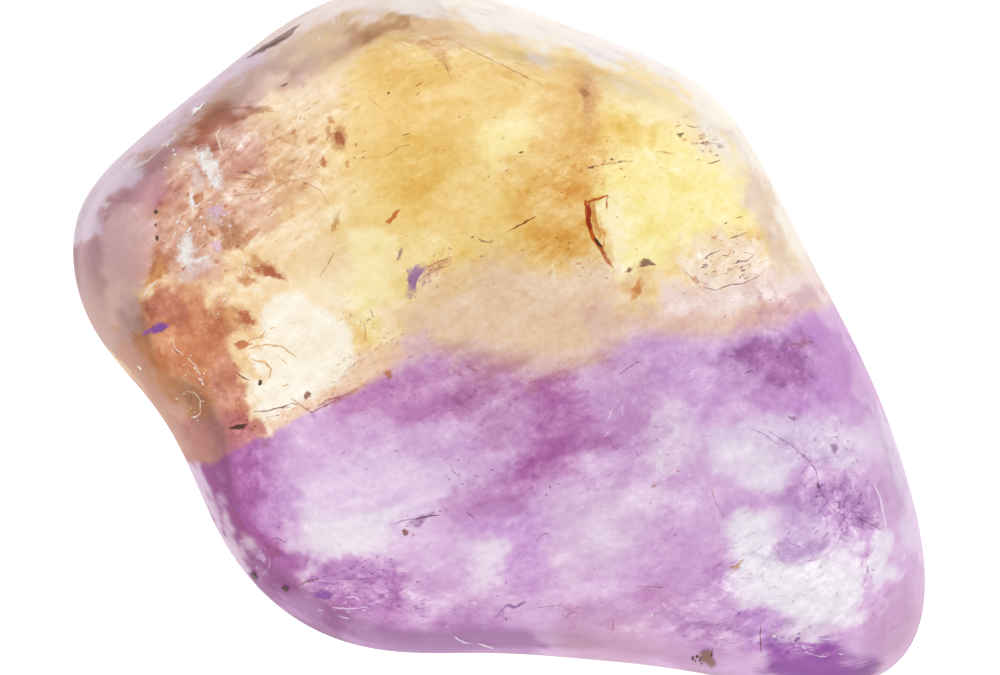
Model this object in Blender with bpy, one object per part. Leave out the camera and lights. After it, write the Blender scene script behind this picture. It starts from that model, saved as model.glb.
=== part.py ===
"""A tumbled ametrine: one polished pebble of two-coloured quartz, lying on its broad side.

The frame is in metres, +Z up. The origin lies on the surface that the stone rests on, under the
middle of its box. +X runs along the longest side of the box, from the blunt end towards the
violet tip, and +Y runs from the violet side towards the yellow side.

The form is a broken chunk with its edges worn round. Seen from above it has a plan outline, its
widest girth or waist. Above and below the waist it is bounded by a few broad facets that meet in
soft ridges, with shallow hollows worn into them, and it is cut flat where it rests.
"""

import math

import bmesh
import bpy
import numpy as np

MM = 0.001

# Driving dimensions, in millimetres.
LENGTH = 34.0  # along X
WIDTH = 28.0  # along Y
WAIST = 7.2  # height of the waist above the resting flat, over the origin
WAIST_SLOPE = (-0.045, 0.030)  # how far the waist rises for each millimetre along X and Y

# The plan outline, anticlockwise, in shares of the half length and the half width.
PLAN = (
    (1.000, -0.715),
    (0.968, -0.450),
    (0.866, -0.105),
    (0.720, 0.240),
    (0.593, 0.535),
    (0.480, 0.705),
    (0.265, 0.840),
    (0.030, 0.945),
    (-0.225, 1.000),
    (-0.462, 0.920),
    (-0.655, 0.750),
    (-0.870, 0.535),
    (-0.982, 0.360),
    (-0.998, 0.235),
    (-0.947, 0.020),
    (-0.838, -0.150),
    (-0.730, -0.360),
    (-0.648, -0.575),
    (-0.532, -0.750),
    (-0.362, -0.866),
    (-0.045, -0.898),
    (0.237, -0.920),
    (0.472, -0.957),
    (0.680, -0.996),
    (0.850, -0.985),
    (0.953, -0.905),
)

# Broad worn facets. Each is a plane: its distance from the waist over the origin in millimetres,
# and how much that grows for each millimetre along X and along Y.
UPPER_FACETS = {
    "crown": (8.95, -0.03, 0.04),
    "right_slope": (10.4, -0.30, 0.03),
    "blunt_end_slope": (11.4, 0.34, 0.04),
    "violet_slope": (11.2, 0.05, 0.40),
    "yellow_bevel": (25.6, -0.46, -1.50),
    "lilac_bevel": (35.4, 1.05, -1.70),
}
LOWER_FACETS = {
    "base": (7.90, 0.01, 0.0),
    "base_right": (9.8, -0.24, 0.03),
    "base_left": (10.0, 0.28, -0.04),
    "base_yellow": (9.9, -0.03, -0.34),
    "base_violet": (9.9, 0.03, 0.34),
}
RIDGE = 9.0  # sharpness of the ridges between facets
EDGE = (3.0, 0.5, -35.0)  # fullness of the worn edge: its mean, its swing and the fullest way

# Shallow hollows in the upper side: place in the plan, half width and depth, in millimetres.
HOLLOWS = {
    "crown_dip": (-1.0, -3.5, 4.5, 0.45),
    "right_dip": (9.5, 3.0, 3.5, 0.35),
    "violet_dip": (5.0, -8.0, 3.5, 0.30),
    "blunt_dip": (-10.5, -0.5, 3.2, 0.40),
}

SUBDIVISIONS = 5  # of the round body that is worn to shape: 5120 triangles
STRETCH = (1.35, 0.95, 0.62)  # of that body along the tip's way, across it and upright
TIP_WAY = -31.0  # degrees round from +X to the tip
RIM_STEP = 0.35  # shortest step round the rim of the resting flat, in millimetres
HALVINGS = 40  # of the search along each way, to well under a micron


def plan_radius(angle):
    """Distance from the middle to the plan outline, a closed cubic spline through PLAN.

    The spline runs over the angle round the middle. Its slopes at the points are those that make
    the second derivative meet there, so that the polish shows no seam.
    """
    points = np.array(PLAN) * (LENGTH / 2, WIDTH / 2)
    knots = np.unwrap(np.arctan2(points[:, 1], points[:, 0]))
    radii = np.hypot(points[:, 0], points[:, 1])
    step = np.diff(np.append(knots, knots[0] + 2 * math.pi))
    rise = (np.roll(radii, -1) - radii) / step
    before = np.roll(step, 1)
    count = len(knots)
    system = np.zeros((count, count))
    rows = np.arange(count)
    system[rows, rows] = 2 * (before + step)
    system[rows, (rows - 1) % count] = step
    system[rows, (rows + 1) % count] = before
    slopes = np.linalg.solve(system, 3 * (step * np.roll(rise, 1) + before * rise))
    turned = knots[0] + np.mod(angle - knots[0], 2 * math.pi)
    low = np.clip(np.searchsorted(knots, turned, side="right") - 1, 0, count - 1)
    high = (low + 1) % count
    t = (turned - knots[low]) / step[low]
    return (
        (1 + 2 * t) * (1 - t) ** 2 * radii[low]
        + t * (1 - t) ** 2 * step[low] * slopes[low]
        + t * t * (3 - 2 * t) * radii[high]
        - t * t * (1 - t) * step[low] * slopes[high]
    )


def facet_height(x, y, facets):
    """Height of the lowest facet over (x, y), with the ridges between facets worn round."""
    inverse = [
        np.maximum(height + along * x + across * y, 0.5) ** -RIDGE
        for height, along, across in facets.values()
    ]
    return sum(inverse) ** (-1 / RIDGE)


def hollow_depth(x, y):
    """Depth of the hollows at (x, y): a round dip for each."""
    depth = np.zeros_like(x)
    for left, up, half_width, deepest in HOLLOWS.values():
        depth += deepest * np.exp(-((x - left) ** 2 + (y - up) ** 2) / half_width**2)
    return depth


def fill(x, y, z, outline, fullness):
    """How full the form is at a point: 1 on its surface, less inside, more outside.

    The share of the way to the outline and the share of the way to the facets, each raised to
    the fullness of the edge, add up to 1 on the surface.
    """
    upper = facet_height(x, y, UPPER_FACETS) - hollow_depth(x, y)
    lower = facet_height(x, y, LOWER_FACETS)
    upright = np.abs(z) / np.where(z > 0, upper, lower)
    return (np.hypot(x, y) / outline) ** fullness + upright**fullness


def stretched_ways(ways):
    """Unit vectors crowded towards the tip and the edge, where the form is far or sharp."""
    turn = math.radians(TIP_WAY)
    along = ways[:, 0] * math.cos(turn) + ways[:, 1] * math.sin(turn)
    across = ways[:, 1] * math.cos(turn) - ways[:, 0] * math.sin(turn)
    along = along * STRETCH[0]
    across = across * STRETCH[1]
    points = np.column_stack([
        along * math.cos(turn) - across * math.sin(turn),
        along * math.sin(turn) + across * math.cos(turn),
        ways[:, 2] * STRETCH[2],
    ])
    return points / np.linalg.norm(points, axis=1)[:, None]


def surface_points(ways):
    """Points where unit vectors from the middle of the waist leave the form, by halving."""
    turn = np.arctan2(ways[:, 1], ways[:, 0])
    outline = plan_radius(turn)
    mean, swing, fullest = EDGE
    fullness = mean + swing * np.cos(turn - math.radians(fullest))
    inside = np.zeros(len(ways))
    outside = np.full(len(ways), LENGTH)
    for _ in range(HALVINGS):
        middle = (inside + outside) / 2
        x, y, z = (ways * middle[:, None]).T
        within = fill(x, y, z, outline, fullness) < 1
        inside = np.where(within, middle, inside)
        outside = np.where(within, outside, middle)
    points = ways * outside[:, None]
    points[:, 2] += WAIST + points[:, :2] @ WAIST_SLOPE
    return points


def quartz():
    """Clear quartz, warm violet, polished."""
    material = bpy.data.materials.new("ametrine")
    material.use_nodes = True
    shader = material.node_tree.nodes["Principled BSDF"]
    shader.inputs["Base Color"].default_value = (0.80, 0.62, 0.72, 1)
    shader.inputs["Roughness"].default_value = 0.08
    shader.inputs["Metallic"].default_value = 0.0
    return material


def stone():
    """The worn chunk, cut flat where it rests."""
    body = bmesh.new()
    bmesh.ops.create_icosphere(body, subdivisions=SUBDIVISIONS, radius=1)
    ways = stretched_ways(np.array([vert.co[:] for vert in body.verts]))
    for vert, place in zip(body.verts, surface_points(ways)):
        vert.co = place * MM
    cut = bmesh.ops.bisect_plane(
        body,
        geom=body.verts[:] + body.edges[:] + body.faces[:],
        dist=1e-6,
        plane_co=(0, 0, 0),
        plane_no=(0, 0, 1),
        clear_inner=True,
    )
    corners = [item for item in cut["geom_cut"] if isinstance(item, bmesh.types.BMVert)]
    bmesh.ops.remove_doubles(body, verts=corners, dist=RIM_STEP * MM)
    rim = [edge for edge in body.edges if edge.is_boundary]
    for edge in rim:
        edge.smooth = False
    bmesh.ops.contextual_create(body, geom=rim)
    bmesh.ops.triangulate(body, faces=body.faces[:])
    bmesh.ops.recalc_face_normals(body, faces=body.faces[:])
    for face in body.faces:
        face.smooth = True
    mesh = bpy.data.meshes.new("ametrine_stone")
    body.to_mesh(mesh)
    body.free()
    mesh.materials.append(quartz())
    obj = bpy.data.objects.new("ametrine_stone", mesh)
    bpy.context.scene.collection.objects.link(obj)


def main():
    for obj in list(bpy.data.objects):
        bpy.data.objects.remove(obj)
    stone()


main()
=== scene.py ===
"""A tumbled ametrine, yellow on one side and violet on the other, on a plain white floor.

Lengths in the constants are millimetres in the row frame: +X towards the violet tip, +Y towards
the yellow side, +Z up from the floor. Meshes are put in place in metres.

The skin is the clear, polished surface. Its tint is worked out point by point from soft zones and
from the growth line between the two quartz colours; its near-white rim zones and its paler tint
towards the outline are painted rim light. A matt sheet over the bevels and the outline carries
more painted rim light. The stone's marks are thin films, some a little under its upper face and
some just over it; the white ones over it are painted glints, and a dark line under the bevel's
ridge is painted shade.
"""

import math

import bpy
import numpy as np
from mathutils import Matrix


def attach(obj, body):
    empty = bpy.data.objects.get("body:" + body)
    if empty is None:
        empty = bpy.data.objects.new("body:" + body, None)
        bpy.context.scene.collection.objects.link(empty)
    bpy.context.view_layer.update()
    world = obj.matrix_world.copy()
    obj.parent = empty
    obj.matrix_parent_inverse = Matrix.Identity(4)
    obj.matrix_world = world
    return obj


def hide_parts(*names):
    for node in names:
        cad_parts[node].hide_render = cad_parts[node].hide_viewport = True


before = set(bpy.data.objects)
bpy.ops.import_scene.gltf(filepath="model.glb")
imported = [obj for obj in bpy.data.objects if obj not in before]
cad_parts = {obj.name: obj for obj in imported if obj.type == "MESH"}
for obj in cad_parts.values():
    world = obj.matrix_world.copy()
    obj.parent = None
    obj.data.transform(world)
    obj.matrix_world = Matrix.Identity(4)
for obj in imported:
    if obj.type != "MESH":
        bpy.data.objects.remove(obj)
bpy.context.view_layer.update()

MM = 0.001
EYE_HEIGHT = 210.0  # of the eye over the waist, straight above the middle

# ---------------------------------------------------------------------------------------------
# The form of the stone, as in its solid
# ---------------------------------------------------------------------------------------------

LENGTH = 34.0
WIDTH = 28.0
WAIST = 7.2  # height of the widest girth over the middle, and its rise along X and Y
WAIST_SLOPE = (-0.045, 0.030)
# Places along the plan outline, as shares of the half length and the half width.
PLAN = (
    (1.000, -0.715),
    (0.968, -0.450),
    (0.866, -0.105),
    (0.720, 0.240),
    (0.593, 0.535),
    (0.480, 0.705),
    (0.265, 0.840),
    (0.030, 0.945),
    (-0.225, 1.000),
    (-0.462, 0.920),
    (-0.655, 0.750),
    (-0.870, 0.535),
    (-0.982, 0.360),
    (-0.998, 0.235),
    (-0.947, 0.020),
    (-0.838, -0.150),
    (-0.730, -0.360),
    (-0.648, -0.575),
    (-0.532, -0.750),
    (-0.362, -0.866),
    (-0.045, -0.898),
    (0.237, -0.920),
    (0.472, -0.957),
    (0.680, -0.996),
    (0.850, -0.985),
    (0.953, -0.905),
)
# Facets of the upper and lower half: height over the waist, and its rise along X and Y.
UPPER_FACETS = {
    "crown": (8.95, -0.03, 0.04),
    "right_slope": (10.4, -0.30, 0.03),
    "blunt_end_slope": (11.4, 0.34, 0.04),
    "violet_slope": (11.2, 0.05, 0.40),
    "yellow_bevel": (25.6, -0.46, -1.50),
    "lilac_bevel": (35.4, 1.05, -1.70),
}
LOWER_FACETS = {
    "base": (7.90, 0.01, 0.0),
    "base_right": (9.8, -0.24, 0.03),
    "base_left": (10.0, 0.28, -0.04),
    "base_yellow": (9.9, -0.03, -0.34),
    "base_violet": (9.9, 0.03, 0.34),
}
LEAST_RISE = 0.5  # of a facet's plane over the waist
RIDGE = 9.0  # power of the mean that rounds the ridges: the higher, the sharper
EDGE = (3.0, 0.5, -35.0)  # fullness of the edge at the waist: mean, swing, where it is most
RELIEF = 0.03  # the slight unevenness, its wave length, and how far in from the outline it is full
RELIEF_LENGTH = 3.5
RELIEF_FULL = 0.3
RELIEF_SEED = 5
# The hollows of the upper face: middle along X and Y, half width, depth.
HOLLOWS = {
    "crown_dip": (-1.0, -3.5, 4.5, 0.45),
    "right_dip": (9.5, 3.0, 3.5, 0.35),
    "violet_dip": (5.0, -8.0, 3.5, 0.30),
    "blunt_dip": (-10.5, -0.5, 3.2, 0.40),
}


def plan_radius(angle):
    """Distance to the plan outline: a closed cubic spline through PLAN over the angle round it."""
    points = np.array(PLAN) * (LENGTH / 2, WIDTH / 2)
    knots = np.unwrap(np.arctan2(points[:, 1], points[:, 0]))
    radii = np.hypot(points[:, 0], points[:, 1])
    step = np.diff(np.append(knots, knots[0] + 2 * math.pi))
    rise = (np.roll(radii, -1) - radii) / step
    before = np.roll(step, 1)
    count = len(knots)
    system = np.zeros((count, count))
    rows = np.arange(count)
    system[rows, rows] = 2 * (before + step)
    system[rows, (rows - 1) % count] = step
    system[rows, (rows + 1) % count] = before
    slopes = np.linalg.solve(system, 3 * (step * np.roll(rise, 1) + before * rise))
    turned = knots[0] + np.mod(angle - knots[0], 2 * math.pi)
    low = np.clip(np.searchsorted(knots, turned, side="right") - 1, 0, count - 1)
    high = (low + 1) % count
    t = (turned - knots[low]) / step[low]
    return (
        (1 + 2 * t) * (1 - t) ** 2 * radii[low]
        + t * (1 - t) ** 2 * step[low] * slopes[low]
        + t * t * (3 - 2 * t) * radii[high]
        - t * t * (1 - t) * step[low] * slopes[high]
    )


def facet_height(x, y, facets):
    """Height of the lowest facet over (x, y), the ridges worn round by a power mean."""
    inverse = [
        np.maximum(height + along * x + across * y, LEAST_RISE) ** -RIDGE
        for height, along, across in facets.values()
    ]
    return sum(inverse) ** (-1 / RIDGE)


def hollow_depth(x, y):
    """Depth of the hollows at (x, y): a round dip for each."""
    depth = np.zeros_like(x)
    for left, up, half_width, deepest in HOLLOWS.values():
        depth += deepest * np.exp(-((x - left) ** 2 + (y - up) ** 2) / half_width**2)
    return depth


def share_out(x, y):
    """How far (x, y) lies on the way from the middle to the plan outline, from 0 to 1."""
    return np.hypot(x, y) / plan_radius(np.arctan2(y, x))


def waist_height(x, y):
    """Height of the widest girth over (x, y)."""
    return WAIST + WAIST_SLOPE[0] * x + WAIST_SLOPE[1] * y


def rise_over_waist(x, y, share, upper):
    """Distance of the surface from the waist: the facet height times the worn edge's curve.

    The curve is (1 - s^p)^(1/p), s being the share out and p the fullness of the edge there.
    """
    mean, swing, fullest = EDGE
    fullness = mean + swing * np.cos(np.arctan2(y, x) - math.radians(fullest))
    if upper:
        facets = facet_height(x, y, UPPER_FACETS) - hollow_depth(x, y)
    else:
        facets = facet_height(x, y, LOWER_FACETS)
    return facets * (1 - share**fullness) ** (1 / fullness)


def relief(x, y):
    """Slight unevenness that tumbling leaves, fading out towards the waist."""
    level = ease(0, RELIEF_FULL, 1 - np.clip(share_out(x, y), 0, 1) ** EDGE[0])
    return RELIEF * waves(np.column_stack([x, y]), RELIEF_LENGTH, RELIEF_SEED) * level


def top_height(x, y):
    """Height of the upper surface over (x, y)."""
    share = np.clip(share_out(x, y), 0, 1)
    return waist_height(x, y) + rise_over_waist(x, y, share, True) + relief(x, y)


# ---------------------------------------------------------------------------------------------
# Meshes
# ---------------------------------------------------------------------------------------------


def new_piece(name, points, faces, material):
    """An object on the body, from points in millimetres and faces as rows of corner numbers."""
    mesh = bpy.data.meshes.new(name)
    mesh.from_pydata((np.asarray(points) * MM).tolist(), [], np.asarray(faces).tolist())
    mesh.shade_smooth()
    mesh.materials.append(material)
    piece = bpy.data.objects.new(name, mesh)
    bpy.context.scene.collection.objects.link(piece)
    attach(piece, "root")
    return piece


def grid_faces(rows, columns):
    """Corner numbers of the cells of a grid of rows by columns points."""
    first = (np.arange(rows - 1)[:, None] * columns + np.arange(columns - 1)).ravel()
    return np.column_stack([first, first + columns, first + columns + 1, first + 1])


def waves(points, length, seed, count=24):
    """A smooth random field from about -1 to 1: a sum of count plane waves of about one length.

    points is an array of places, one a row. Each wave has its own way, its own phase and a length
    within a third of the one asked for.
    """
    rng = np.random.default_rng(seed)
    ways = rng.normal(size=(count, points.shape[1]))
    ways /= np.linalg.norm(ways, axis=1)[:, None]
    pace = 2 * math.pi / (length * rng.uniform(0.7, 1.4, count))
    phase = rng.uniform(0, 2 * math.pi, count)
    field = np.zeros(len(points))
    for way, rate, start in zip(ways, pace, phase):
        field += np.sin(points @ way * rate + start)
    return field / math.sqrt(count)


# ---------------------------------------------------------------------------------------------
# Tint
# ---------------------------------------------------------------------------------------------


def linear(colour):
    """Light shares of a colour given as 0 to 255 screen values."""
    shares = np.asarray(colour, dtype=float) / 255
    return np.where(shares <= 0.04045, shares / 12.92, ((shares + 0.055) / 1.055) ** 2.4)


def ease(low, high, value):
    """0 below low, 1 above high, and a smooth S between them."""
    t = np.clip((value - low) / (high - low), 0, 1)
    return t * t * (3 - 2 * t)


# The growth line between violet and yellow: places along it, and how soft it is there.
GROWTH_LINE = (
    (-18.0, -6.4, 0.12),
    (-12.4, -5.0, 0.12),
    (-11.4, -4.9, 0.14),
    (-10.4, -4.4, 0.14),
    (-8.6, -3.6, 0.14),
    (-6.6, -2.5, 0.16),
    (-4.6, -1.5, 0.30),
    (-3.0, -0.7, 0.50),
    (-1.0, -0.5, 0.90),
    (1.5, -1.1, 1.00),
    (3.6, -0.9, 0.90),
    (5.4, 0.1, 0.45),
    (7.0, 0.1, 0.40),
    (9.0, 0.0, 0.40),
    (11.4, 0.6, 0.40),
    (13.4, 1.4, 0.40),
    (18.0, 3.0, 0.40),
)
YELLOW = (243, 213, 146)
VIOLET = (216, 178, 217)

# Zones of the yellow side, in the order they are laid on: softness of the edge, strength, colour
# on the screen, and the outline round the zone.
YELLOW_ZONES = (
    # broad grounds
    (1.60, 0.9, (241, 211, 170), ((-18, 14), (-7, 14), (-6.4, 8), (-6, 3), (-7, -4), (-18, -4))),
    (0.60, 0.9, (236, 204, 178), (
        (-13, -6.5), (-10, -3.8), (-6, -0.6), (-3, 0.6), (-2, -1.5), (-6, -4),
    )),
    (0.90, 0.9, (235, 208, 184), ((-4, 0), (-3.2, 2.4), (0, 3), (5, 3.2), (5.4, 0), (0, -2.4))),
    (0.80, 0.9, (237, 200, 122), (
        (-4.4, 11), (-1.6, 11.6), (-2, 8.6), (-1.8, 5.4), (-3.4, 4.6), (-4.6, 7.6),
    )),
    (0.55, 0.9, (232, 192, 117), (
        (0.3, 6.1), (1.4, 7.2), (1.8, 10.4), (4.2, 10.6), (4, 7), (4.3, 3.4), (1.6, 3.2),
        (0.4, 4.4),
    )),
    (0.50, 0.7, (229, 184, 106), ((2.2, 7), (3.5, 6.6), (3.5, 3.8), (2, 3.6), (1.6, 5))),
    (0.50, 0.9, (253, 233, 172), (
        (-0.9, 8.8), (0.2, 9), (1.1, 8), (0.9, 7.2), (0.2, 6.5), (-0.7, 7.2),
    )),
    # right of the crack
    (0.50, 1.0, (254, 236, 172), (
        (4.4, 7.2), (6, 8.3), (9.2, 7.4), (10.4, 5.6), (9.4, 4.6), (7.4, 3.6), (5.8, 2.6),
        (4.7, 2.4), (4.2, 4),
    )),
    (0.45, 0.9, (244, 214, 130), ((4, 8), (4.9, 9.9), (7.2, 9), (7, 8.2), (5, 7.3))),
    (0.16, 1.0, (254, 238, 194), (
        (4.15, 5.2), (4.6, 5.7), (5.0, 5.2), (4.95, 3.6), (4.75, 2.4), (4.4, 3), (4.2, 4),
    )),
    # Near-white band along the right rim: painted rim light.
    (0.50, 1.0, (248, 239, 226), (
        (6.2, 11.5), (10.5, 10.5), (13.2, 6), (15.5, 1.4), (12.8, 1.8), (10.9, 4.4), (9.6, 6.8),
        (8.5, 7.7), (7.6, 8.9),
    )),
    (0.35, 0.8, (228, 200, 178), (
        (9.7, 6.7), (10.4, 6.1), (11.6, 3.2), (11.1, 2.8), (10.4, 4.2), (9.9, 5.6),
    )),
    (0.30, 0.9, (245, 224, 200), (
        (7.4, 3.9), (9.4, 4.4), (10.5, 3.6), (10.6, 2.8), (8.4, 2), (7.8, 2.6),
    )),
    (0.50, 0.95, (240, 219, 214), (
        (6.2, 2.4), (8, 2.2), (11, 2.8), (12.4, 3.4), (15.4, 2.8), (15.4, 1.0), (11.4, 1.2),
        (9, 0.7), (6.8, 0.5), (5.9, 1.2),
    )),
    (0.40, 0.9, (213, 177, 184), (
        (8.6, 0.5), (10.6, 1.1), (12.6, 2.1), (13.2, 1.2), (11.6, 0.1), (9.6, -0.2), (8.4, 0),
    )),
    (0.30, 0.8, (222, 188, 196), ((-4.2, -0.2), (-2.6, 0.1), (-2.2, -1.2), (-4.2, -1.5))),
    (0.50, 0.8, (254, 238, 190), (
        (4.4, 9.6), (5.4, 10.2), (7.4, 9.2), (8, 8.2), (6.6, 8.1), (5.2, 9.1),
    )),
    (0.40, 0.9, (226, 196, 184), (
        (3.4, 1.3), (5.2, 0.9), (6.8, 1.1), (9, 0.8), (9.2, -0.5), (5, -0.8), (3.4, -0.9),
    )),
    (0.25, 0.7, (220, 176, 120), ((5.0, 2.3), (5.6, 3.1), (6.1, 2.7), (5.7, 1.9), (5.3, 1.4))),
    # the bevel along the top
    (0.50, 0.9, (230, 210, 206), (
        (-12, 10.6), (-9.8, 10.6), (-8.2, 11.9), (-6, 12.9), (-3, 13.2), (-2, 15.5), (-12, 15.5),
    )),
    # Near-white band on the bevel at the top right: painted rim light.
    (0.45, 1.0, (244, 235, 226), (
        (-5, 15.6), (1, 15.4), (10.4, 9.6), (9.3, 8.9), (7.2, 9.8), (5.4, 10.5), (3.4, 11.1),
        (1.6, 11.5), (0, 11.8), (-1.8, 12.4), (-3.4, 13.1), (-4.8, 13.2),
    )),
    (0.30, 0.6, (240, 228, 236), ((3, 12.1), (6.6, 11.1), (6.4, 10.8), (3.4, 11.5))),
    (0.35, 0.8, (236, 202, 156), (
        (-5, 12.9), (-2, 13.1), (-0.6, 12.2), (0.6, 11.6), (-1.6, 11.7), (-4.4, 11.8),
    )),
    (0.50, 0.9, (222, 192, 162), (
        (-9.4, 10.6), (-8.4, 12.0), (-7.0, 12.6), (-5, 12.9), (-4.4, 12.3), (-6.6, 11.6),
        (-7.6, 10.7), (-9, 9.9),
    )),
    (0.25, 0.9, (190, 140, 90), (
        (-6.4, 12.1), (-5, 12.6), (-3.6, 13.1), (-2.8, 13.1), (-3.6, 12.4), (-4.6, 11.9),
        (-6.0, 11.8),
    )),
    (0.30, 0.9, (238, 222, 214), (
        (-8.8, 12.3), (-6.4, 15), (-4.4, 15), (-4.9, 12.9), (-6.6, 12.6), (-7.6, 12.2),
    )),
    (0.40, 0.8, (226, 189, 136), (
        (3.0, 10.8), (3.6, 10.8), (3.9, 9.4), (3.6, 8.2), (3.2, 8.4), (3.3, 9.6),
    )),
    # the blunt end
    (0.50, 0.9, (205, 170, 178), (
        (-18.4, 3), (-17, 7.6), (-14, 10.4), (-11.8, 12), (-9.4, 11.4), (-11.2, 9.6), (-13.0, 7.8),
        (-13.9, 5.6), (-15.2, 3),
    )),
    (0.50, 0.85, (205, 164, 144), (
        (-14.2, 7.6), (-12, 8.6), (-10, 8.8), (-9.2, 7.4), (-9.6, 5), (-10.6, 3.4), (-11.0, 2.4),
        (-13.4, 2.2), (-14.2, 4),
    )),
    (0.50, 0.80, (219, 181, 140), ((-9.8, 8.4), (-8, 8.6), (-7.4, 7.2), (-7.8, 5.6), (-9.4, 5))),
    (0.35, 0.9, (214, 184, 164), (
        (-10.8, 9.6), (-9.6, 10.8), (-8.6, 12.2), (-7.9, 12.1), (-7.8, 11.4), (-8.4, 10.8),
        (-9.4, 9.7), (-10.2, 9.3),
    )),
    (0.50, 0.8, (246, 222, 194), (
        (-9.2, 9.8), (-7.6, 10.8), (-6, 10.9), (-5.8, 9.8), (-7.2, 8.6), (-8.6, 8.6),
    )),
    (0.40, 0.9, (214, 176, 172), (
        (-18.4, 4), (-15.8, 5.2), (-14, 5.8), (-13.5, 4), (-13.9, 2.6), (-14.6, 1.4),
        (-15.2, -0.6), (-17, 1.4),
    )),
    (0.35, 0.85, (178, 135, 138), (
        (-18.4, 4.4), (-16.2, 4.4), (-15.7, 2.4), (-15.2, 0.2), (-16.2, -0.4), (-17.4, 1.5),
    )),
    (0.25, 1.0, (196, 150, 124), (
        (-13.8, 5.6), (-13.2, 6.6), (-12.6, 5.6), (-12.9, 4), (-13.8, 2.2), (-14.4, 2.0),
        (-13.7, 4),
    )),
    (0.30, 0.9, (214, 176, 158), (
        (-11.6, 8.4), (-10.4, 8.9), (-9.6, 8.2), (-9.2, 6.7), (-10, 5.9), (-11.2, 6),
    )),
    (0.30, 0.6, (218, 180, 152), (
        (-12.4, 5.8), (-9.4, 6.2), (-8.6, 5.0), (-9.6, 3.6), (-11.6, 3.2), (-12.8, 4.2),
    )),
    (0.30, 0.8, (222, 188, 158), ((-9.8, 9.2), (-8.9, 8.8), (-9.0, 7.6), (-9.7, 8.2))),
    # Pale lilac band along the outline of the blunt end: painted highlight on the bevel.
    (0.20, 1.0, (222, 202, 214), (
        (-18.4, 3.4), (-17, 7.6), (-14, 10.4), (-11.8, 12), (-10.2, 12), (-9.4, 11.2),
        (-10.6, 10.3), (-11.6, 9.4), (-12.9, 8.3), (-13.9, 7.2), (-14.8, 6.1), (-16.0, 4.4),
    )),
    (0.25, 0.95, (183, 135, 142), (
        (-15.9, 4.7), (-14.5, 6.3), (-13.2, 7.6), (-12.9, 7.4), (-13.1, 6.1), (-14.0, 5.2),
        (-15.4, 4.7),
    )),
    (0.30, 0.9, (205, 171, 158), (
        (-13.6, 7.8), (-12.2, 9.1), (-11.2, 10.0), (-9.8, 10.9), (-8.6, 11.2), (-8.2, 10.6),
        (-9.6, 9.6), (-11, 9.1), (-12.4, 8.3),
    )),
    # Dark brown band under the bevel's ridge at the blunt end: painted shade along the ridge,
    # together with the orange-brown stain below it.
    (0.25, 1.0, (162, 104, 72), (
        (-13.5, 7.5), (-12.2, 8.6), (-11.2, 9.25), (-10.3, 9.55), (-9.4, 9.5), (-10.2, 8.9),
        (-11.2, 8.4), (-11.5, 7.6), (-12.4, 7.3),
    )),
    # the amber patch
    (0.30, 1.0, (200, 138, 90), (
        (-15, 0.5), (-13.6, 1.9), (-12, 2.2), (-11.0, 1.7), (-10.8, 0.2), (-10.9, -1),
        (-11.2, -2.2), (-11.4, -3.3), (-12.4, -4.2), (-13.4, -3.4), (-14.4, -2), (-15.4, -0.8),
    )),
    (0.25, 0.9, (200, 134, 84), (
        (-14.3, 0.4), (-12.8, 0.6), (-12.2, -1), (-12.1, -2), (-13, -2.2), (-14, -1.4),
    )),
    (0.12, 0.9, (205, 146, 124), (
        (-11.2, -0.9), (-10.5, -1.0), (-9.95, -2), (-9.85, -3.7), (-11, -4.3), (-11.5, -3.2),
    )),
    (0.20, 0.9, (190, 124, 122), (
        (-13.4, -3.4), (-11.4, -3.2), (-10.0, -3.5), (-9.8, -4.4), (-11.4, -5.2), (-12.8, -6.0),
    )),
    (0.25, 1.0, (170, 104, 64), (
        (-14.6, 0.9), (-13.6, 1.7), (-12.6, 1.6), (-12.4, 0.9), (-13.4, 0.4), (-14.4, 0.3),
    )),
    (0.20, 0.8, (190, 126, 150), ((-11.2, -4.0), (-10.2, -3.9), (-9.8, -4.4), (-11.4, -5.1))),
    (0.30, 0.8, (206, 158, 144), (
        (-15.6, -0.2), (-14.7, -0.2), (-13.4, -2.0), (-12.4, -3.6), (-12.2, -4.6), (-13.4, -4.4),
        (-15, -1.6),
    )),
    (0.30, 0.8, (196, 158, 152), (
        (-17.4, 1.8), (-15.4, 1.6), (-14.8, 0), (-15.4, -0.8), (-17.2, 0.4),
    )),
    # the cream window
    (0.60, 0.9, (251, 231, 198), (
        (-9.6, 2), (-7.6, 3), (-5.8, 2.6), (-5.4, 1), (-7, 0.6), (-9, 1.2),
    )),
    (0.60, 0.8, (246, 219, 180), ((-9, 4.8), (-7, 4.4), (-6.4, 3.2), (-7.6, 2.4), (-9.2, 3))),
    (0.50, 0.9, (253, 236, 188), ((-6.2, 4.6), (-4.6, 4.4), (-4.2, 2.4), (-5, 0.4), (-6, 1.4))),
    (0.22, 0.9, (252, 241, 226), (
        (-9.8, 1.5), (-8.6, 1.8), (-7, 0.9), (-5.9, 0.2), (-5.6, -1), (-6.6, -2.0), (-8.2, -2.7),
        (-9.75, -3.7), (-9.85, -2.2), (-10, -1), (-9.5, 0),
    )),
    (0.25, 0.9, (252, 229, 198), ((-5, 1.6), (-4, 1.4), (-4, 0.2), (-4.8, -0.3))),
)

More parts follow.
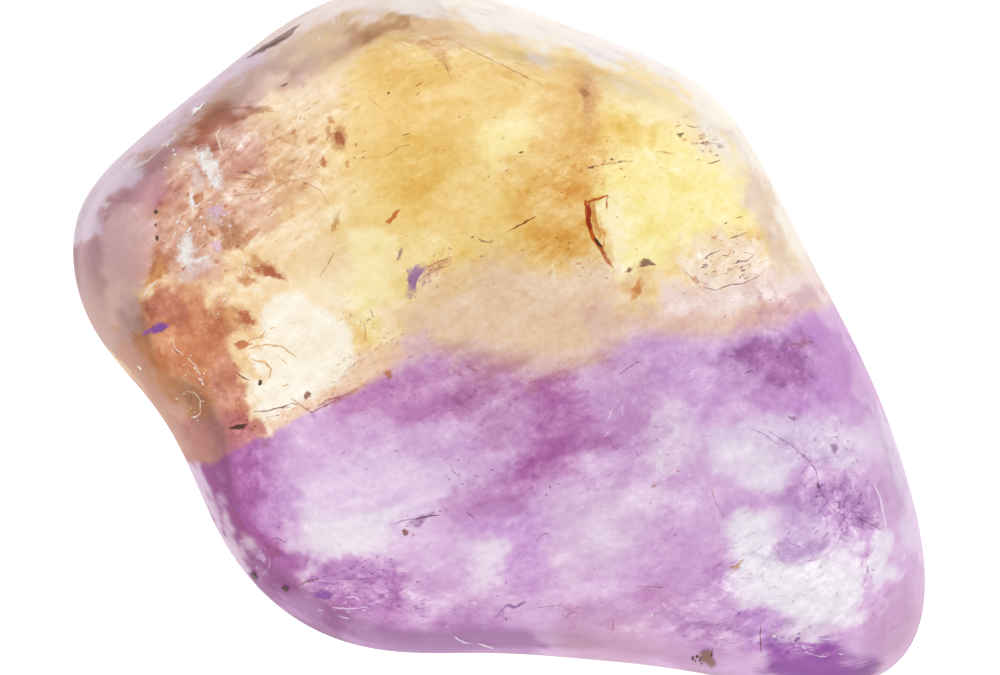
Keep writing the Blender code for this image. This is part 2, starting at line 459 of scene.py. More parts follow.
# Zones of the violet side, in the same way.
VIOLET_ZONES = (
    # the left, with its pale window
    (0.60, 0.9, (183, 125, 180), (
        (-10.4, -3), (-9.0, -3.4), (-8.8, -5), (-8.8, -6.6), (-8.6, -8.4), (-9.4, -8.8),
        (-9.8, -6.4),
    )),
    (0.35, 1.0, (157, 86, 144), (
        (-12.6, -4), (-10.8, -4), (-9.6, -3.8), (-9.4, -5.8), (-9.4, -7.6), (-9.0, -8.8),
        (-9.8, -9.2), (-10.8, -7.8), (-11.6, -6.3),
    )),
    (0.30, 0.95, (224, 198, 222), (
        (-14, -4.6), (-11.95, -5.1), (-10.8, -7.2), (-9.95, -8.8), (-11.2, -10.4), (-13.4, -7.4),
    )),
    (0.40, 0.9, (222, 184, 222), (
        (-8.2, -3.2), (-5, -2.6), (-3, -3.6), (-3, -4.8), (-6, -5), (-8.2, -5.2),
    )),
    (0.50, 1.0, (232, 206, 235), (
        (-8.5, -6), (-8.2, -8.9), (-6, -9.1), (-4.6, -8.3), (-2.6, -7.0), (-1.0, -6), (-1.4, -4.9),
        (-4, -4.8), (-6.6, -5),
    )),
    (0.40, 0.9, (242, 229, 244), (
        (-7.9, -7.4), (-7.6, -9.1), (-6, -9.0), (-4.4, -8.1), (-4.2, -7.2), (-6, -7),
    )),
    # along the growth line
    (0.40, 0.9, (200, 146, 186), (
        (-7.4, -2.9), (-5.4, -1.6), (-3, -1.0), (-0.5, -1), (-0.6, -3.2), (-2.2, -3.6),
        (-4.6, -3.2),
    )),
    (0.40, 0.9, (185, 133, 165), ((-2.2, -2), (-0.8, -1.4), (0, -2), (-0.9, -3.3), (-2, -3.2))),
    (0.25, 0.8, (228, 198, 204), ((-3.8, -0.3), (-2.6, -0.1), (-2.6, -0.9), (-3.6, -1))),
    (0.55, 1.0, (188, 141, 152), (
        (-2.4, 0), (0, -0.4), (2, -0.9), (4, -0.4), (4.8, -1.2), (2, -2), (-1, -1.6),
    )),
    (0.50, 0.8, (199, 154, 188), ((-1.2, -1.8), (0.8, -1.8), (1.0, -4.6), (-0.8, -4.6))),
    (0.40, 0.8, (190, 142, 194), (
        (-9.4, -6.2), (-8.4, -5.6), (-7.9, -6.4), (-8.4, -7.6), (-9.2, -7.8),
    )),
    (0.40, 0.8, (190, 142, 150), (
        (-0.4, -0.8), (1.6, -1.1), (2.2, -2), (0.4, -2.3), (-0.6, -1.6),
    )),
    # the deep heart
    (0.50, 1.0, (185, 128, 171), (
        (0.8, -2.2), (2, -1.6), (3.2, -1.8), (3.8, -2.8), (3.9, -4), (3.3, -4.8), (2.6, -5.8),
        (1.2, -6.3), (0.2, -6.9), (-0.6, -6.6), (0.6, -5.2), (1.2, -4),
    )),
    (0.45, 0.5, (176, 120, 164), ((1.5, -4.6), (2.8, -4.4), (3, -5.2), (1.4, -5.9))),
    (0.35, 0.9, (198, 150, 190), ((-2.4, -6.7), (-1, -6.0), (0.8, -5.6), (0.6, -7), (-1.4, -7))),
    (0.50, 0.9, (208, 166, 203), (
        (4.3, -2), (5.8, -0.8), (6.5, -2), (6.3, -4.2), (5, -5.2), (4, -4.4),
    )),
    (0.35, 1.0, (184, 133, 174), ((3.4, -3.6), (4.4, -4), (5, -4.8), (4.4, -5.2), (3.4, -5))),
    (0.30, 0.9, (230, 204, 228), ((6.5, -2.8), (7.2, -3.2), (7, -5.2), (6.2, -5.5), (6.0, -4.6))),
    # the right, below the growth line
    (0.50, 0.9, (206, 165, 211), ((6, 0), (8.6, -0.6), (9, -2.2), (8.4, -3.2), (6.8, -2.8))),
    (0.35, 0.9, (193, 143, 198), (
        (11.6, 0.5), (13.3, 0.5), (14.2, -1.0), (14.5, -2.7), (12.6, -2.9), (11, -3.3),
        (9.9, -2.2), (12, -1.9), (13, -1.0),
    )),
    (0.50, 1.0, (148, 88, 143), (
        (8.4, -0.9), (9.8, 0.0), (11.6, 0.1), (12.3, -0.5), (12.8, -1.2), (12.5, -1.8),
        (11.0, -2.1), (10, -2),
    )),
    (0.40, 0.9, (230, 206, 230), ((6.6, -2.9), (7.8, -3), (8.2, -4.4), (7, -4.8))),
    (0.40, 0.9, (229, 209, 234), (
        (8.2, -3.4), (10.4, -3), (12, -3.3), (14.6, -3), (15.8, -4), (15, -5), (12.9, -4.7),
        (11.2, -5.5), (8.8, -5),
    )),
    (0.35, 0.9, (184, 144, 189), (
        (10.6, -5.8), (12.2, -5.6), (13.2, -6.6), (14.6, -7.4), (15, -6.6), (14.6, -5.6),
        (13.4, -5.4), (12.9, -7), (12.4, -7.6), (11.6, -7.4),
    )),
    (0.30, 0.8, (204, 165, 210), ((12.4, -2.7), (14.4, -2.7), (14.6, -3.9), (12.8, -3.7))),
    (0.35, 0.9, (206, 179, 214), (
        (11.2, -6.6), (12.6, -7), (13.4, -8.4), (12, -9.2), (11.4, -8.2),
    )),
    (0.30, 0.9, (230, 210, 234), (
        (14.4, -1.6), (15.8, -3.6), (16.8, -6.6), (17.2, -9), (16.2, -8.6), (15.6, -6),
    )),
    (0.30, 0.8, (228, 204, 230), ((12.9, -7.7), (14.1, -7.6), (14.2, -8.8), (13, -8.9))),
    (0.40, 0.8, (240, 226, 242), (
        (8.8, -4.6), (11, -4.6), (11.6, -5.5), (10.4, -5.9), (8.8, -5.6),
    )),
    # the tip
    (0.40, 0.9, (203, 164, 197), (
        (14.6, -10.6), (16.6, -9.4), (17, -11), (15.8, -12.8), (14.6, -12.4), (14.2, -11.6),
    )),
    (0.50, 1.0, (244, 233, 245), (
        (9.4, -7.2), (11, -7), (11.5, -8.8), (13, -9), (14.4, -9.2), (14.3, -10.9), (13.8, -11.7),
        (12.4, -11.8), (11, -11.2), (9.9, -10.8), (9.5, -9.6), (9.2, -8.6),
    )),
    (0.20, 0.9, (242, 231, 245), (
        (14.8, -8.2), (15.8, -8), (15.9, -9.4), (15, -9.9), (14.7, -9.2),
    )),
    (0.35, 0.8, (190, 146, 200), (
        (9.6, -11.2), (11.2, -11.2), (11.8, -12.2), (10.8, -12.8), (9.4, -12),
    )),
    (0.30, 1.0, (140, 86, 152), (
        (10.6, -12.2), (11.7, -11.4), (12.4, -12.0), (13.6, -12.5), (15, -12.6), (14.8, -15),
        (11, -15),
    )),
    (0.30, 0.7, (222, 198, 220), ((11.2, -11), (13.4, -11.2), (13.2, -11.9), (11.4, -11.8))),
    # the foot
    (0.50, 0.9, (196, 155, 192), ((6.8, -11.2), (9, -11), (10.2, -12.8), (7, -14))),
    (0.50, 0.8, (200, 149, 186), ((5.4, -10), (7.2, -10), (7.4, -11), (5.6, -11.3))),
    (0.50, 0.8, (200, 156, 182), ((2.4, -10.6), (5.8, -11.3), (8, -13.2), (2.4, -13))),
    (0.50, 0.9, (204, 160, 202), (
        (6.6, -7.6), (9.2, -8.2), (9.2, -9.6), (7.4, -9.8), (5.2, -9.4),
    )),
    (0.50, 0.9, (229, 200, 225), (
        (1.8, -6.8), (3.6, -5.8), (6, -5.6), (7, -6.6), (5.8, -7.6), (4.6, -9), (2.6, -10),
        (2, -8.2),
    )),
    (0.40, 0.9, (241, 219, 241), ((3.2, -7.2), (4.4, -7), (4.9, -8), (4.2, -8.6), (3.2, -8.3))),
    (0.40, 0.9, (203, 158, 210), (
        (-1.6, -7.2), (0.4, -6.9), (1.6, -7.6), (1.9, -9), (1.2, -10.4), (0.4, -10), (0.2, -8.4),
        (-1.4, -7.8),
    )),
    (0.35, 0.9, (226, 192, 228), (
        (-3.4, -7.6), (-1.7, -7.3), (-1.6, -8.6), (-2.4, -9.2), (-3.7, -9.0),
    )),
    (0.45, 1.0, (239, 220, 241), (
        (-1.5, -8.4), (-0.6, -8), (0.1, -8.6), (0.2, -9.6), (-0.6, -10.2), (-1.4, -9.6),
    )),
    (0.30, 0.9, (185, 134, 186), (
        (-9.2, -9.5), (-6, -9.2), (-4.6, -8.7), (-3.8, -9.4), (-3.8, -11), (-4.6, -14),
        (-8.2, -13.4), (-10.8, -11.2),
    )),
    (0.40, 0.9, (178, 128, 180), ((-5, -11.5), (-2, -11.1), (1.6, -11.4), (1.8, -14), (-4, -14))),
    (0.30, 0.9, (158, 104, 150), ((-8.8, -11.1), (-6.2, -11.3), (-6.0, -12.6), (-8.8, -12.4))),
    (0.25, 0.8, (163, 102, 160), (
        (-7.4, -9.9), (-6.6, -10), (-5.8, -11.2), (-6.8, -11.4), (-7.2, -10.8),
    )),
    (0.30, 1.0, (160, 97, 152), (
        (-10.4, -8.6), (-9, -8.3), (-8.0, -9.0), (-7.8, -10), (-8.8, -10.4), (-9.9, -9.7),
    )),
)
WARP = 0.28  # how far the zones' edges wander
LINE_WARP = 0.3  # how far the growth line does, as a share of that
WANDER = ((2.4, 1.0), (0.9, 0.6), (0.4, 0.3))  # lengths and strengths of the waves they follow
WANDER_SEEDS = ((11, 12, 21), (13, 14, 22))  # of those waves, along X and along Y

# Where the quartz is full of wisps and fine healed cracks: softness, strength, outline.
WISP_GROUND = 0.22
WISP_ZONES = (
    (1.0, 1.0, ((-7, 13.2), (-2, 13.6), (2, 10.6), (1, 9.6), (-2.4, 10.8), (-6, 11.2))),
    (1.0, 0.8, ((-14, 8), (-8, 11), (-5.6, 9.4), (-5.8, 6.4), (-8, 2), (-13.6, 2))),
    (0.8, 0.9, ((-11.8, 7.8), (-9.8, 7), (-8.8, 3), (-9.4, 1.8), (-13.2, 2))),
    (0.8, 0.6, ((-17, 5), (-14, 6), (-13.6, 1), (-15, -1), (-17, 1))),
    (0.6, 0.7, ((-10.4, 0.8), (-5, 2), (-4.2, 0), (-7, -3), (-10.4, -3.8))),
    (0.8, 0.6, ((0.4, 6), (5.4, 9.4), (6.4, 8), (5.4, 1.6), (1, 2.4))),
    (0.6, 1.0, (
        (6.6, 9.4), (9.6, 8.6), (12.8, 2.2), (12, 1), (7, 1.4), (7.4, 3.6), (10, 4.6), (9.4, 7),
    )),
    (0.8, 0.6, ((4.6, 7), (9, 7.4), (10, 4.6), (5, 3))),
    (0.8, 0.9, (
        (-10.4, -8.4), (-8, -9.2), (-4, -8.4), (0, -10.6), (0, -13), (-8, -12.6), (-11, -9),
    )),
    (0.8, 0.35, ((8, 0.4), (14.4, 2), (15.4, -2), (10, -2.8), (8, -2))),
    (0.8, 1.0, ((10.6, -4), (13, -3.2), (16, -5), (16.4, -9.6), (13.6, -9.4), (11.8, -7))),
    (0.8, 0.8, (
        (9.2, -7.4), (11.6, -7), (15.4, -9.6), (16.6, -10.4), (15.2, -13), (8, -13.4), (6, -11.6),
    )),
    (0.8, 0.3, ((-3, -0.6), (4.4, -1), (7.4, -3), (6.8, -6.8), (2, -7), (-2.4, -4))),
)

# Light that leaves an untinted place, and the powers that turn a seen colour into the skin's tint:
# red, green and blue, on the violet side and on the yellow side.
WHITE_LEVELS = ((1.275, 1.10, 1.26), (1.135, 1.025, 1.00))
DEPTHS_OF_TINT = ((1.59, 2.08, 1.50), (1.72, 2.28, 2.30))
# These lower the powers towards the outline, so that the tint pales there: painted rim light.
RIM_POWERS = ((0.60, 0.80, 0.60), (0.65, 0.66, 0.62))  # changes to those powers at the outline
RIM = (0.82, 0.93)  # shares of the way out between which they come in
LEAST_TINT = 0.002  # share of the light that the darkest place still lets through
FLANK = (3.4, 1.0)  # heights over the waist where the flank's tint takes over from the face's
FLANK_IN = 0.90  # it is like that of the face at this share of the way out
FLANK_DEPTH = 0.35  # powers of its tint as a share of the face's, as light crosses two flanks
BASE_BELOW = -3.0  # height over the waist under which the skin is nearly untinted
BASE_PALER = 0.9


def depth_inside(u, v, outline):
    """Distance from places to the nearest side of an outline, above 0 inside it, below 0 outside.

    A place is inside where a line from it along X crosses the outline an odd number of times.
    """
    corners = np.array(outline, dtype=float)
    nearest = np.full(len(u), np.inf)
    inside = np.zeros(len(u), dtype=bool)
    for (ax, ay), (bx, by) in zip(corners, np.roll(corners, -1, axis=0)):
        side_x, side_y = bx - ax, by - ay
        share = ((u - ax) * side_x + (v - ay) * side_y) / (side_x**2 + side_y**2)
        share = np.clip(share, 0, 1)
        away = np.hypot(u - ax - share * side_x, v - ay - share * side_y)
        nearest = np.minimum(nearest, away)
        crosses = (ay > v) != (by > v)
        where = ax + (v - ay) * side_x / np.where(side_y == 0, 1, side_y)
        inside ^= crosses & (u < where)
    return np.where(inside, nearest, -nearest)


def laid_on(ground, zones, u, v):
    """The ground's colour with the zones laid on it in turn."""
    colour = np.tile(linear(ground), (len(u), 1))
    for soft, strength, zone, outline in zones:
        share = strength * ease(-soft, soft, depth_inside(u, v, outline))[:, None]
        colour = colour * (1 - share) + linear(zone) * share
    return colour


def wispiness(x, y):
    """How full of wisps the quartz is over (x, y), from 0 to 1."""
    share = np.full(len(x), WISP_GROUND)
    for soft, strength, outline in WISP_ZONES:
        share = np.maximum(share, strength * ease(-soft, soft, depth_inside(x, y, outline)))
    return share


def seen_colour(x, y, z):
    """The colour wanted over (x, y), as light shares, and how far the place is on the yellow side.

    The zones' edges wander with the height z as well.
    """
    places = np.column_stack([x, y, z])
    wander = np.column_stack([
        sum(strength * waves(places, length, seed)
            for (length, strength), seed in zip(WANDER, seeds))
        for seeds in WANDER_SEEDS
    ])
    u, v = (places[:, :2] + WARP * wander).T
    line = np.array(GROWTH_LINE)
    edge = np.interp(x, line[:, 0], line[:, 1])
    soft = np.interp(x, line[:, 0], line[:, 2])
    y_line = y + LINE_WARP * WARP * wander[:, 1]
    yellow_share = ease(-1, 1, (y_line - edge) / soft)[:, None]
    violet = laid_on(VIOLET, VIOLET_ZONES, u, v)
    yellow = laid_on(YELLOW, YELLOW_ZONES, u, v)
    return violet * (1 - yellow_share) + yellow * yellow_share, yellow_share


def skin_tint(points):
    """The tint of the skin at its points: the face's, turning into the flank's and the base's."""
    x, y, z = points.T
    over = z - waist_height(x, y)
    nearer = 1 - (z - WAIST) / EYE_HEIGHT
    face, yellow_share = seen_colour(x / nearer, y / nearer, z)
    flank, _ = seen_colour(FLANK_IN * x, FLANK_IN * y, z)
    white, power = (
        np.array(violet) * (1 - yellow_share) + np.array(yellow) * yellow_share
        for violet, yellow in (WHITE_LEVELS, DEPTHS_OF_TINT)
    )
    on_violet, on_yellow = np.array(RIM_POWERS)
    # Lower powers towards the outline pale the tint there: painted rim light.
    rim = ease(*RIM, share_out(x, y))[:, None]
    at_rim = on_violet * (1 - yellow_share) + on_yellow * yellow_share
    power = power * (1 + rim * (at_rim - 1))
    face = np.clip(face / white, 0, 1) ** power
    flank = np.clip(flank / white, 0, 1) ** (FLANK_DEPTH * power)
    share = ease(*FLANK, over)[:, None]
    tint = LEAST_TINT + (1 - LEAST_TINT) * (face * (1 - share) + flank * share)
    return tint ** (1 - BASE_PALER * ease(0, BASE_BELOW, over)[:, None])


# ---------------------------------------------------------------------------------------------
# Shader nodes
# ---------------------------------------------------------------------------------------------


class Wire:
    """One output of a node, with arithmetic that adds Math nodes."""

    def __init__(self, finish, socket):
        self.finish = finish
        self.socket = socket

    def _math(self, operation, *values):
        sockets = dict(enumerate(values))
        return self.finish.node("ShaderNodeMath", {"operation": operation}, sockets)

    def __add__(self, other):
        return self._math("ADD", self, other)

    __radd__ = __add__

    def __sub__(self, other):
        return self._math("SUBTRACT", self, other)

    def __rsub__(self, other):
        return self._math("SUBTRACT", other, self)

    def __mul__(self, other):
        return self._math("MULTIPLY", self, other)

    __rmul__ = __mul__

    def __abs__(self):
        return self._math("ABSOLUTE", self)

    def limited(self):
        """The value kept from 0 to 1."""
        return self.finish.node("ShaderNodeClamp", None, {"Value": self})


class Finish:
    """A material or a world and its shader, with one method that adds any other node."""

    def __init__(self, name, kind="materials", shader="Principled BSDF"):
        self.made = getattr(bpy.data, kind).new(name)
        self.made.use_nodes = True
        self.nodes = self.made.node_tree.nodes
        self.links = self.made.node_tree.links
        self.shader = self.nodes[shader]

    def connect(self, socket, value):
        """Links a wire to a socket, or sets a plain value on it."""
        if isinstance(value, Wire):
            self.links.new(value.socket, socket)
        else:
            socket.default_value = value

    def node(self, kind, settings=None, sockets=None, out=0):
        """Adds a node: its settings first, then its sockets; the wire is of output out."""
        added = self.nodes.new(kind)
        for name, value in (settings or {}).items():
            setattr(added, name, value)
        for name, value in (sockets or {}).items():
            self.connect(added.inputs[name], value)
        return Wire(self, added.outputs[out])

    def noise(self, length, detail=4.0, roughness=0.55, stretch=None):
        """Noise from 0 to 1 of about one length in millimetres, drawn out by a turn and shares.

        stretch is (turn in degrees about Z, share along X, share along Y): a share under 1 draws
        the pattern out that way.
        """
        where = self.node("ShaderNodeTexCoord", out="Object")
        if stretch:
            turn, along, across = stretch
            where = self.node(
                "ShaderNodeMapping",
                {"vector_type": "TEXTURE"},
                {"Vector": where, "Rotation": (0.0, 0.0, math.radians(turn)),
                 "Scale": (1 / along, 1 / across, 1.0)},
            )
        return self.node(
            "ShaderNodeTexNoise",
            None,
            {"Vector": where, "Scale": 1 / (length * MM), "Detail": detail,
             "Roughness": roughness},
        )

    def set(self, **values):
        """Sets or links the shader's own sockets, underscores standing for spaces."""
        for name, value in values.items():
            self.connect(self.shader.inputs[name.replace("_", " ")], value)
        return self


LEAST_DEPTH, MOST_DEPTH = 0.15, 2.4  # powers between which the quartz pales and deepens
MIDDLE = 0.5  # value that a noise swings about
# How far each pattern changes the power of the tint.
EVEN_DEPTH = 1.02
CLOUD_DEPTH = 0.8
LAYER_DEPTH = 0.9
GRAIN_DEPTH = 0.7
VEIL_PALER = 0.45
WISP_DEPTH, CROSS_WISP_DEPTH = 2.0, 1.4
VEIN_DEPTH, HEALED_PALER = 0.45, 0.4
FLECK_DEPTH = 0.9
# How fast a pattern comes in as its noise rises, and the value from which it does.
VEIL_RISE = 3.0
PATCH_RISE, PATCH_START = 4.0, 1.6
FLECK_RISE, FLECK_FROM = 12.0, 0.62
QUARTZ_IOR = 1.544


def vein(finish, length, fineness, stretch):
    """Thin crooked lines, 1 on a line and 0 off it: where a noise passes its middle value."""
    pattern = finish.noise(length, detail=2.0, roughness=0.5, stretch=stretch)
    return (1 - abs(pattern - MIDDLE) * fineness).limited()


def quartz():
    """Clear polished quartz; its tint varies in clouds, wisps, veins, dark flecks and grain."""
    finish = Finish("clear_quartz")
    tint = finish.node("ShaderNodeAttribute", {"attribute_name": "tint"})
    wispy = finish.node("ShaderNodeAttribute", {"attribute_name": "tint"}, out=3)
    cloud = finish.noise(1.7, detail=6.0, roughness=0.62)
    wisp = finish.noise(0.55, detail=4.0, roughness=0.6, stretch=(38, 0.25, 1.0))
    cross_wisp = finish.noise(0.45, detail=4.0, roughness=0.6, stretch=(-24, 0.35, 1.0))
    layer = finish.noise(0.9, detail=4.0, roughness=0.55, stretch=(15, 0.22, 1.0))
    veil = finish.noise(1.5, detail=7.0, roughness=0.62, stretch=(25, 0.5, 1.0))
    grain = finish.noise(0.28, detail=4.0, roughness=0.65)
    patch = (finish.noise(2.0, detail=2.0) * PATCH_RISE - PATCH_START).limited()
    veins = vein(finish, 1.1, 30.0, (32, 0.4, 1.0)) + vein(finish, 0.8, 24.0, (-20, 0.5, 1.0))
    healed = vein(finish, 1.0, 28.0, (60, 0.5, 1.0))
    depth = EVEN_DEPTH + (cloud - MIDDLE) * CLOUD_DEPTH
    depth = depth + (layer - MIDDLE) * LAYER_DEPTH + (grain - MIDDLE) * GRAIN_DEPTH
    depth = depth - ((veil - MIDDLE) * VEIL_RISE).limited() * VEIL_PALER
    wisps = (wisp - MIDDLE) * WISP_DEPTH + (cross_wisp - MIDDLE) * CROSS_WISP_DEPTH
    depth = depth + wispy * wisps
    depth = depth + wispy * patch * (veins * VEIN_DEPTH - healed * HEALED_PALER)
    fleck = finish.noise(0.22, detail=3.0, roughness=0.6, stretch=(30, 0.4, 1.0))
    depth = depth + wispy * ((fleck - FLECK_FROM) * FLECK_RISE).limited() * FLECK_DEPTH
    depth = finish.node(
        "ShaderNodeClamp", None, {"Value": depth, "Min": LEAST_DEPTH, "Max": MOST_DEPTH}
    )
    finish.set(
        Base_Color=finish.node("ShaderNodeGamma", None, {"Color": tint, "Gamma": depth}),
        Roughness=0.12,
        Transmission_Weight=0.97,
        IOR=QUARTZ_IOR,
    )
    return finish.made


# ---------------------------------------------------------------------------------------------
# The skin
# ---------------------------------------------------------------------------------------------

SKIN_STEPS = 221  # grid points along each side of each half
BEND = 0.75  # share of the grid that is evenly spaced; the rest crowds towards the waist
CROWDING = 3.0  # how strongly that rest crowds


def half_skin(upper):
    """Points of the upper or lower half: a square grid laid on the disc of ways to the outline.

    Each square ring of the grid becomes a ring of places at one share out, so the halves share
    their outermost ring and there is no pole.
    """
    side = np.linspace(-1, 1, SKIN_STEPS)
    a, b = (part.ravel() for part in np.meshgrid(side, side, indexing="ij"))
    ring = np.maximum(np.abs(a), np.abs(b))
    safe = np.where(ring == 0, 1, ring)
    wide = np.abs(a) >= np.abs(b)
    turn = np.where(
        wide,
        np.where(a > 0, 0, math.pi) + math.pi / 4 * b / safe * np.sign(a),
        np.where(b > 0, 0.5, -0.5) * math.pi - math.pi / 4 * a / safe * np.sign(b),
    )
    pace = CROWDING / (1 - BEND + CROWDING * BEND)
    share = np.where(
        ring < BEND,
        pace * ring,
        1 - (1 - pace * BEND) * ((1 - ring) / (1 - BEND)) ** CROWDING,
    )
    share = np.clip(share, 0, 1)
    reach = share * plan_radius(turn)
    x = reach * np.cos(turn)
    y = reach * np.sin(turn)
    rise = rise_over_waist(x, y, share, upper) + relief(x, y)
    z = waist_height(x, y) + (rise if upper else -rise)
    return np.column_stack([x, y, np.maximum(z, 0)])


def skin():
    """The whole polished surface, its two halves sharing the ring at the waist."""
    top = half_skin(True)
    bottom = half_skin(False)
    faces = grid_faces(SKIN_STEPS, SKIN_STEPS)
    number = np.arange(SKIN_STEPS * SKIN_STEPS)
    row, column = np.divmod(number, SKIN_STEPS)
    last = SKIN_STEPS - 1
    rim = (row == 0) | (row == last) | (column == 0) | (column == last)
    renumbered = number.copy()
    renumbered[~rim] = len(top) + np.arange((~rim).sum())
    points = np.vstack([top, bottom[~rim]])
    faces = np.vstack([faces, renumbered[faces][:, ::-1]])
    piece = new_piece("polished_skin", points, faces, quartz())
    tint = piece.data.attributes.new("tint", "FLOAT_COLOR", "POINT")
    colours = np.column_stack([skin_tint(points), wispiness(*points[:, :2].T)])
    tint.data.foreach_set("color", colours.ravel())
    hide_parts("ametrine_stone")


# ---------------------------------------------------------------------------------------------
# The matt sheet of painted rim light on the bevels and the outline
# ---------------------------------------------------------------------------------------------

# Where the bevels carry the sheet of painted rim light: softness, cover, outline.
RIM_LIGHT_PATCHES = (
    (0.45, 1.00, (
        (-3.2, 14.4), (0, 14), (4, 12.8), (8, 10.8), (10.6, 8.6), (9.0, 8.0), (7.3, 9.0),
        (5.2, 10.0), (2.9, 10.8), (0.3, 11.3), (-1.9, 11.9),
    )),
    (0.50, 0.85, (
        (-10.4, 11.2), (-6, 14.6), (-3, 14.6), (-1.4, 12.3), (-3.6, 11.9), (-5.4, 12.0),
        (-7.0, 11.0), (-9, 10.5),
    )),
    (0.30, 0.85, (
        (-17, 4.4), (-15.4, 8), (-11.4, 11.6), (-10.0, 11.3), (-12, 9.4), (-14, 7.8), (-15.2, 6.2),
    )),
    (0.60, 0.70, ((-17.8, 5), (-15.4, 6), (-14.2, 4.5), (-14.4, 1.5), (-15.2, -0.8), (-17.6, 0))),
    (0.40, 0.85, (
        (9.2, 9.6), (12.4, 7), (15.4, 1.0), (13.2, 1.2), (11.4, 4.4), (10, 7), (9, 8.6),
    )),
    (0.30, 0.90, (
        (14.6, -1.5), (16.6, -3), (17.8, -7), (17.8, -9.6), (16.3, -9), (15.75, -6.6),
        (15.1, -3.8),
    )),
)
RIM_LIGHT_HEIGHT = 0.02  # over the skin
LEAST_COVER = 0.01  # cells that are covered less than this are left out
STREAKS = 0.8  # how much its cover varies in streaks
LIGHT_ON_BEVELS = 1.04  # light that falls on a steep place
RIM_LIGHT_FADE = (-0.3, 0.8)  # heights over the waist between which the sheet comes in
RIM_LIGHT_AT_OUTLINE = 0.75  # cover of the sheet along the whole outline: painted light where the clear skin comes out dark
OUTLINE_RIM_LIGHT = (0.83, 0.94)  # shares of the way out between which it comes in


def matt_rim_light():
    """The matt sheet of painted rim light: the cells of the skin's upper grid that it covers,
    moved out by a hair.

    It has the colour wanted at its place, the quartz's tint with the rim light painted in, so that
    it pales or deepens the clear skin under it.
    """
    points = half_skin(True)
    grid = points.reshape(SKIN_STEPS, SKIN_STEPS, 3)
    along, across = np.gradient(grid, axis=(0, 1))
    outward = np.cross(along, across).reshape(-1, 3)
    outward /= np.linalg.norm(outward, axis=1)[:, None]
    x, y, z = points.T
    nearer = 1 - (z - WAIST) / EYE_HEIGHT
    cover = RIM_LIGHT_AT_OUTLINE * ease(*OUTLINE_RIM_LIGHT, share_out(x, y))
    for soft, most, outline in RIM_LIGHT_PATCHES:
        inside = depth_inside(x / nearer, y / nearer, outline)
        cover = np.maximum(cover, most * ease(-soft, soft, inside))
    cover *= ease(*RIM_LIGHT_FADE, z - waist_height(x, y))
    faces = grid_faces(SKIN_STEPS, SKIN_STEPS)
    faces = faces[cover[faces].max(axis=1) > LEAST_COVER]
    used, numbers = np.unique(faces, return_inverse=True)
    finish = Finish("matt_rim_light")
    share = finish.node("ShaderNodeAttribute", {"attribute_name": "tint"}, out=3)
    streaks = finish.noise(0.8, detail=6.0, roughness=0.65, stretch=(-20, 0.5, 1.0))
    finish.set(
        Base_Color=finish.node("ShaderNodeAttribute", {"attribute_name": "tint"}),
        Roughness=0.6,
        Specular_IOR_Level=0.2,
        Alpha=share * ((streaks - MIDDLE) * STREAKS + 1.0).limited(),
    )
    moved = (points + RIM_LIGHT_HEIGHT * outward)[used]
    piece = new_piece("matt_rim_light", moved, numbers.reshape(-1, 4), finish.made)
    colours, _ = seen_colour((x / nearer)[used], (y / nearer)[used], z[used])
    colours = np.clip(colours / LIGHT_ON_BEVELS, 0, BRIGHTEST)
    tint = piece.data.attributes.new("tint", "FLOAT_COLOR", "POINT")
    tint.data.foreach_set("color", np.column_stack([colours, cover[used]]).ravel())


# ---------------------------------------------------------------------------------------------
# Flaws, painted glints and painted shade: films, strokes and specks, a little under the upper face
# or just over it
# ---------------------------------------------------------------------------------------------

# Tones of the stains, and of the painted shade under the bevel's ridge: the colour each lets
# through, and how much of the place it covers.
STAINS_AND_SHADE = {
    "ember": (204, 118, 32, 1.00),
    "maroon": (138, 70, 72, 0.85),
    "iron": (204, 122, 62, 0.90),
    "amber": (216, 166, 120, 0.85),
    "gold": (220, 168, 84, 0.85),
    "tan": (206, 168, 130, 0.75),
    "smear": (222, 188, 160, 0.70),
    "umber": (138, 72, 44, 0.90),
    "black": (76, 26, 8, 1.00),
    "plum": (156, 102, 156, 0.70),
    "rust": (200, 142, 140, 0.75),
    "grape": (206, 166, 214, 0.70),
}
# Tones of the marks that lie on the face: their own colour, and how much they cover.
# White, milk and pearl are painted glints on the bevels, and cracks painted with the white light
# they reflect; the other tones are the stone's own marks.
BRUISES_AND_GLINTS = {
    "violet": (134, 74, 156, 0.80),
    "lilac": (222, 190, 234, 0.60),
    "white": (254, 249, 251, 0.80),
    "milk": (250, 242, 248, 0.34),
    "pearl": (246, 230, 242, 0.55),
    "blush": (250, 222, 200, 0.60),
    "grey": (226, 212, 214, 0.55),
    "scar": (138, 98, 86, 0.80),
    "liver": (132, 84, 74, 0.90),
    "pit": (70, 42, 32, 0.95),
}
# How fast a tone's cover grows from the edge inwards, where it isn't 1.
FIRMNESS = {
    "smear": 0.5,
    "grape": 0.5,
    "milk": 0.5,
    "grey": 0.6,
    "lilac": 0.6,
    "white": 0.7,
    "umber": 1.8,
    "black": 3.0,
    "pit": 3.5,
    "scar": 1.5,
    "ember": 3.0,
    "maroon": 2.0,
}
BRUISE_AND_GLINT_HEIGHT = 0.03  # over the face
LIGHT_ON_FACE = 0.89  # light that falls on the face
BRIGHTEST = 0.97  # share of the light that the palest mark gives back
LAYERS = 12  # films in the same place lie in as many layers
LAYER_STEP = 0.006  # between two layers
OUTLINE_STEPS = 48  # points round a film
FILM_RINGS = (0.35, 0.6, 0.8, 0.93, 1.0)
FILM_DEPTH = 0.35  # of the first layer under the face
STROKE_STEP = 0.12  # between two points along a stroke, and the fewest points it has
STROKE_POINTS = 4
STROKE_DEPTH = 0.30  # of the first layer under the face
STROKE_RUN = 0.3  # how unevenly a stroke runs, as a share of its width
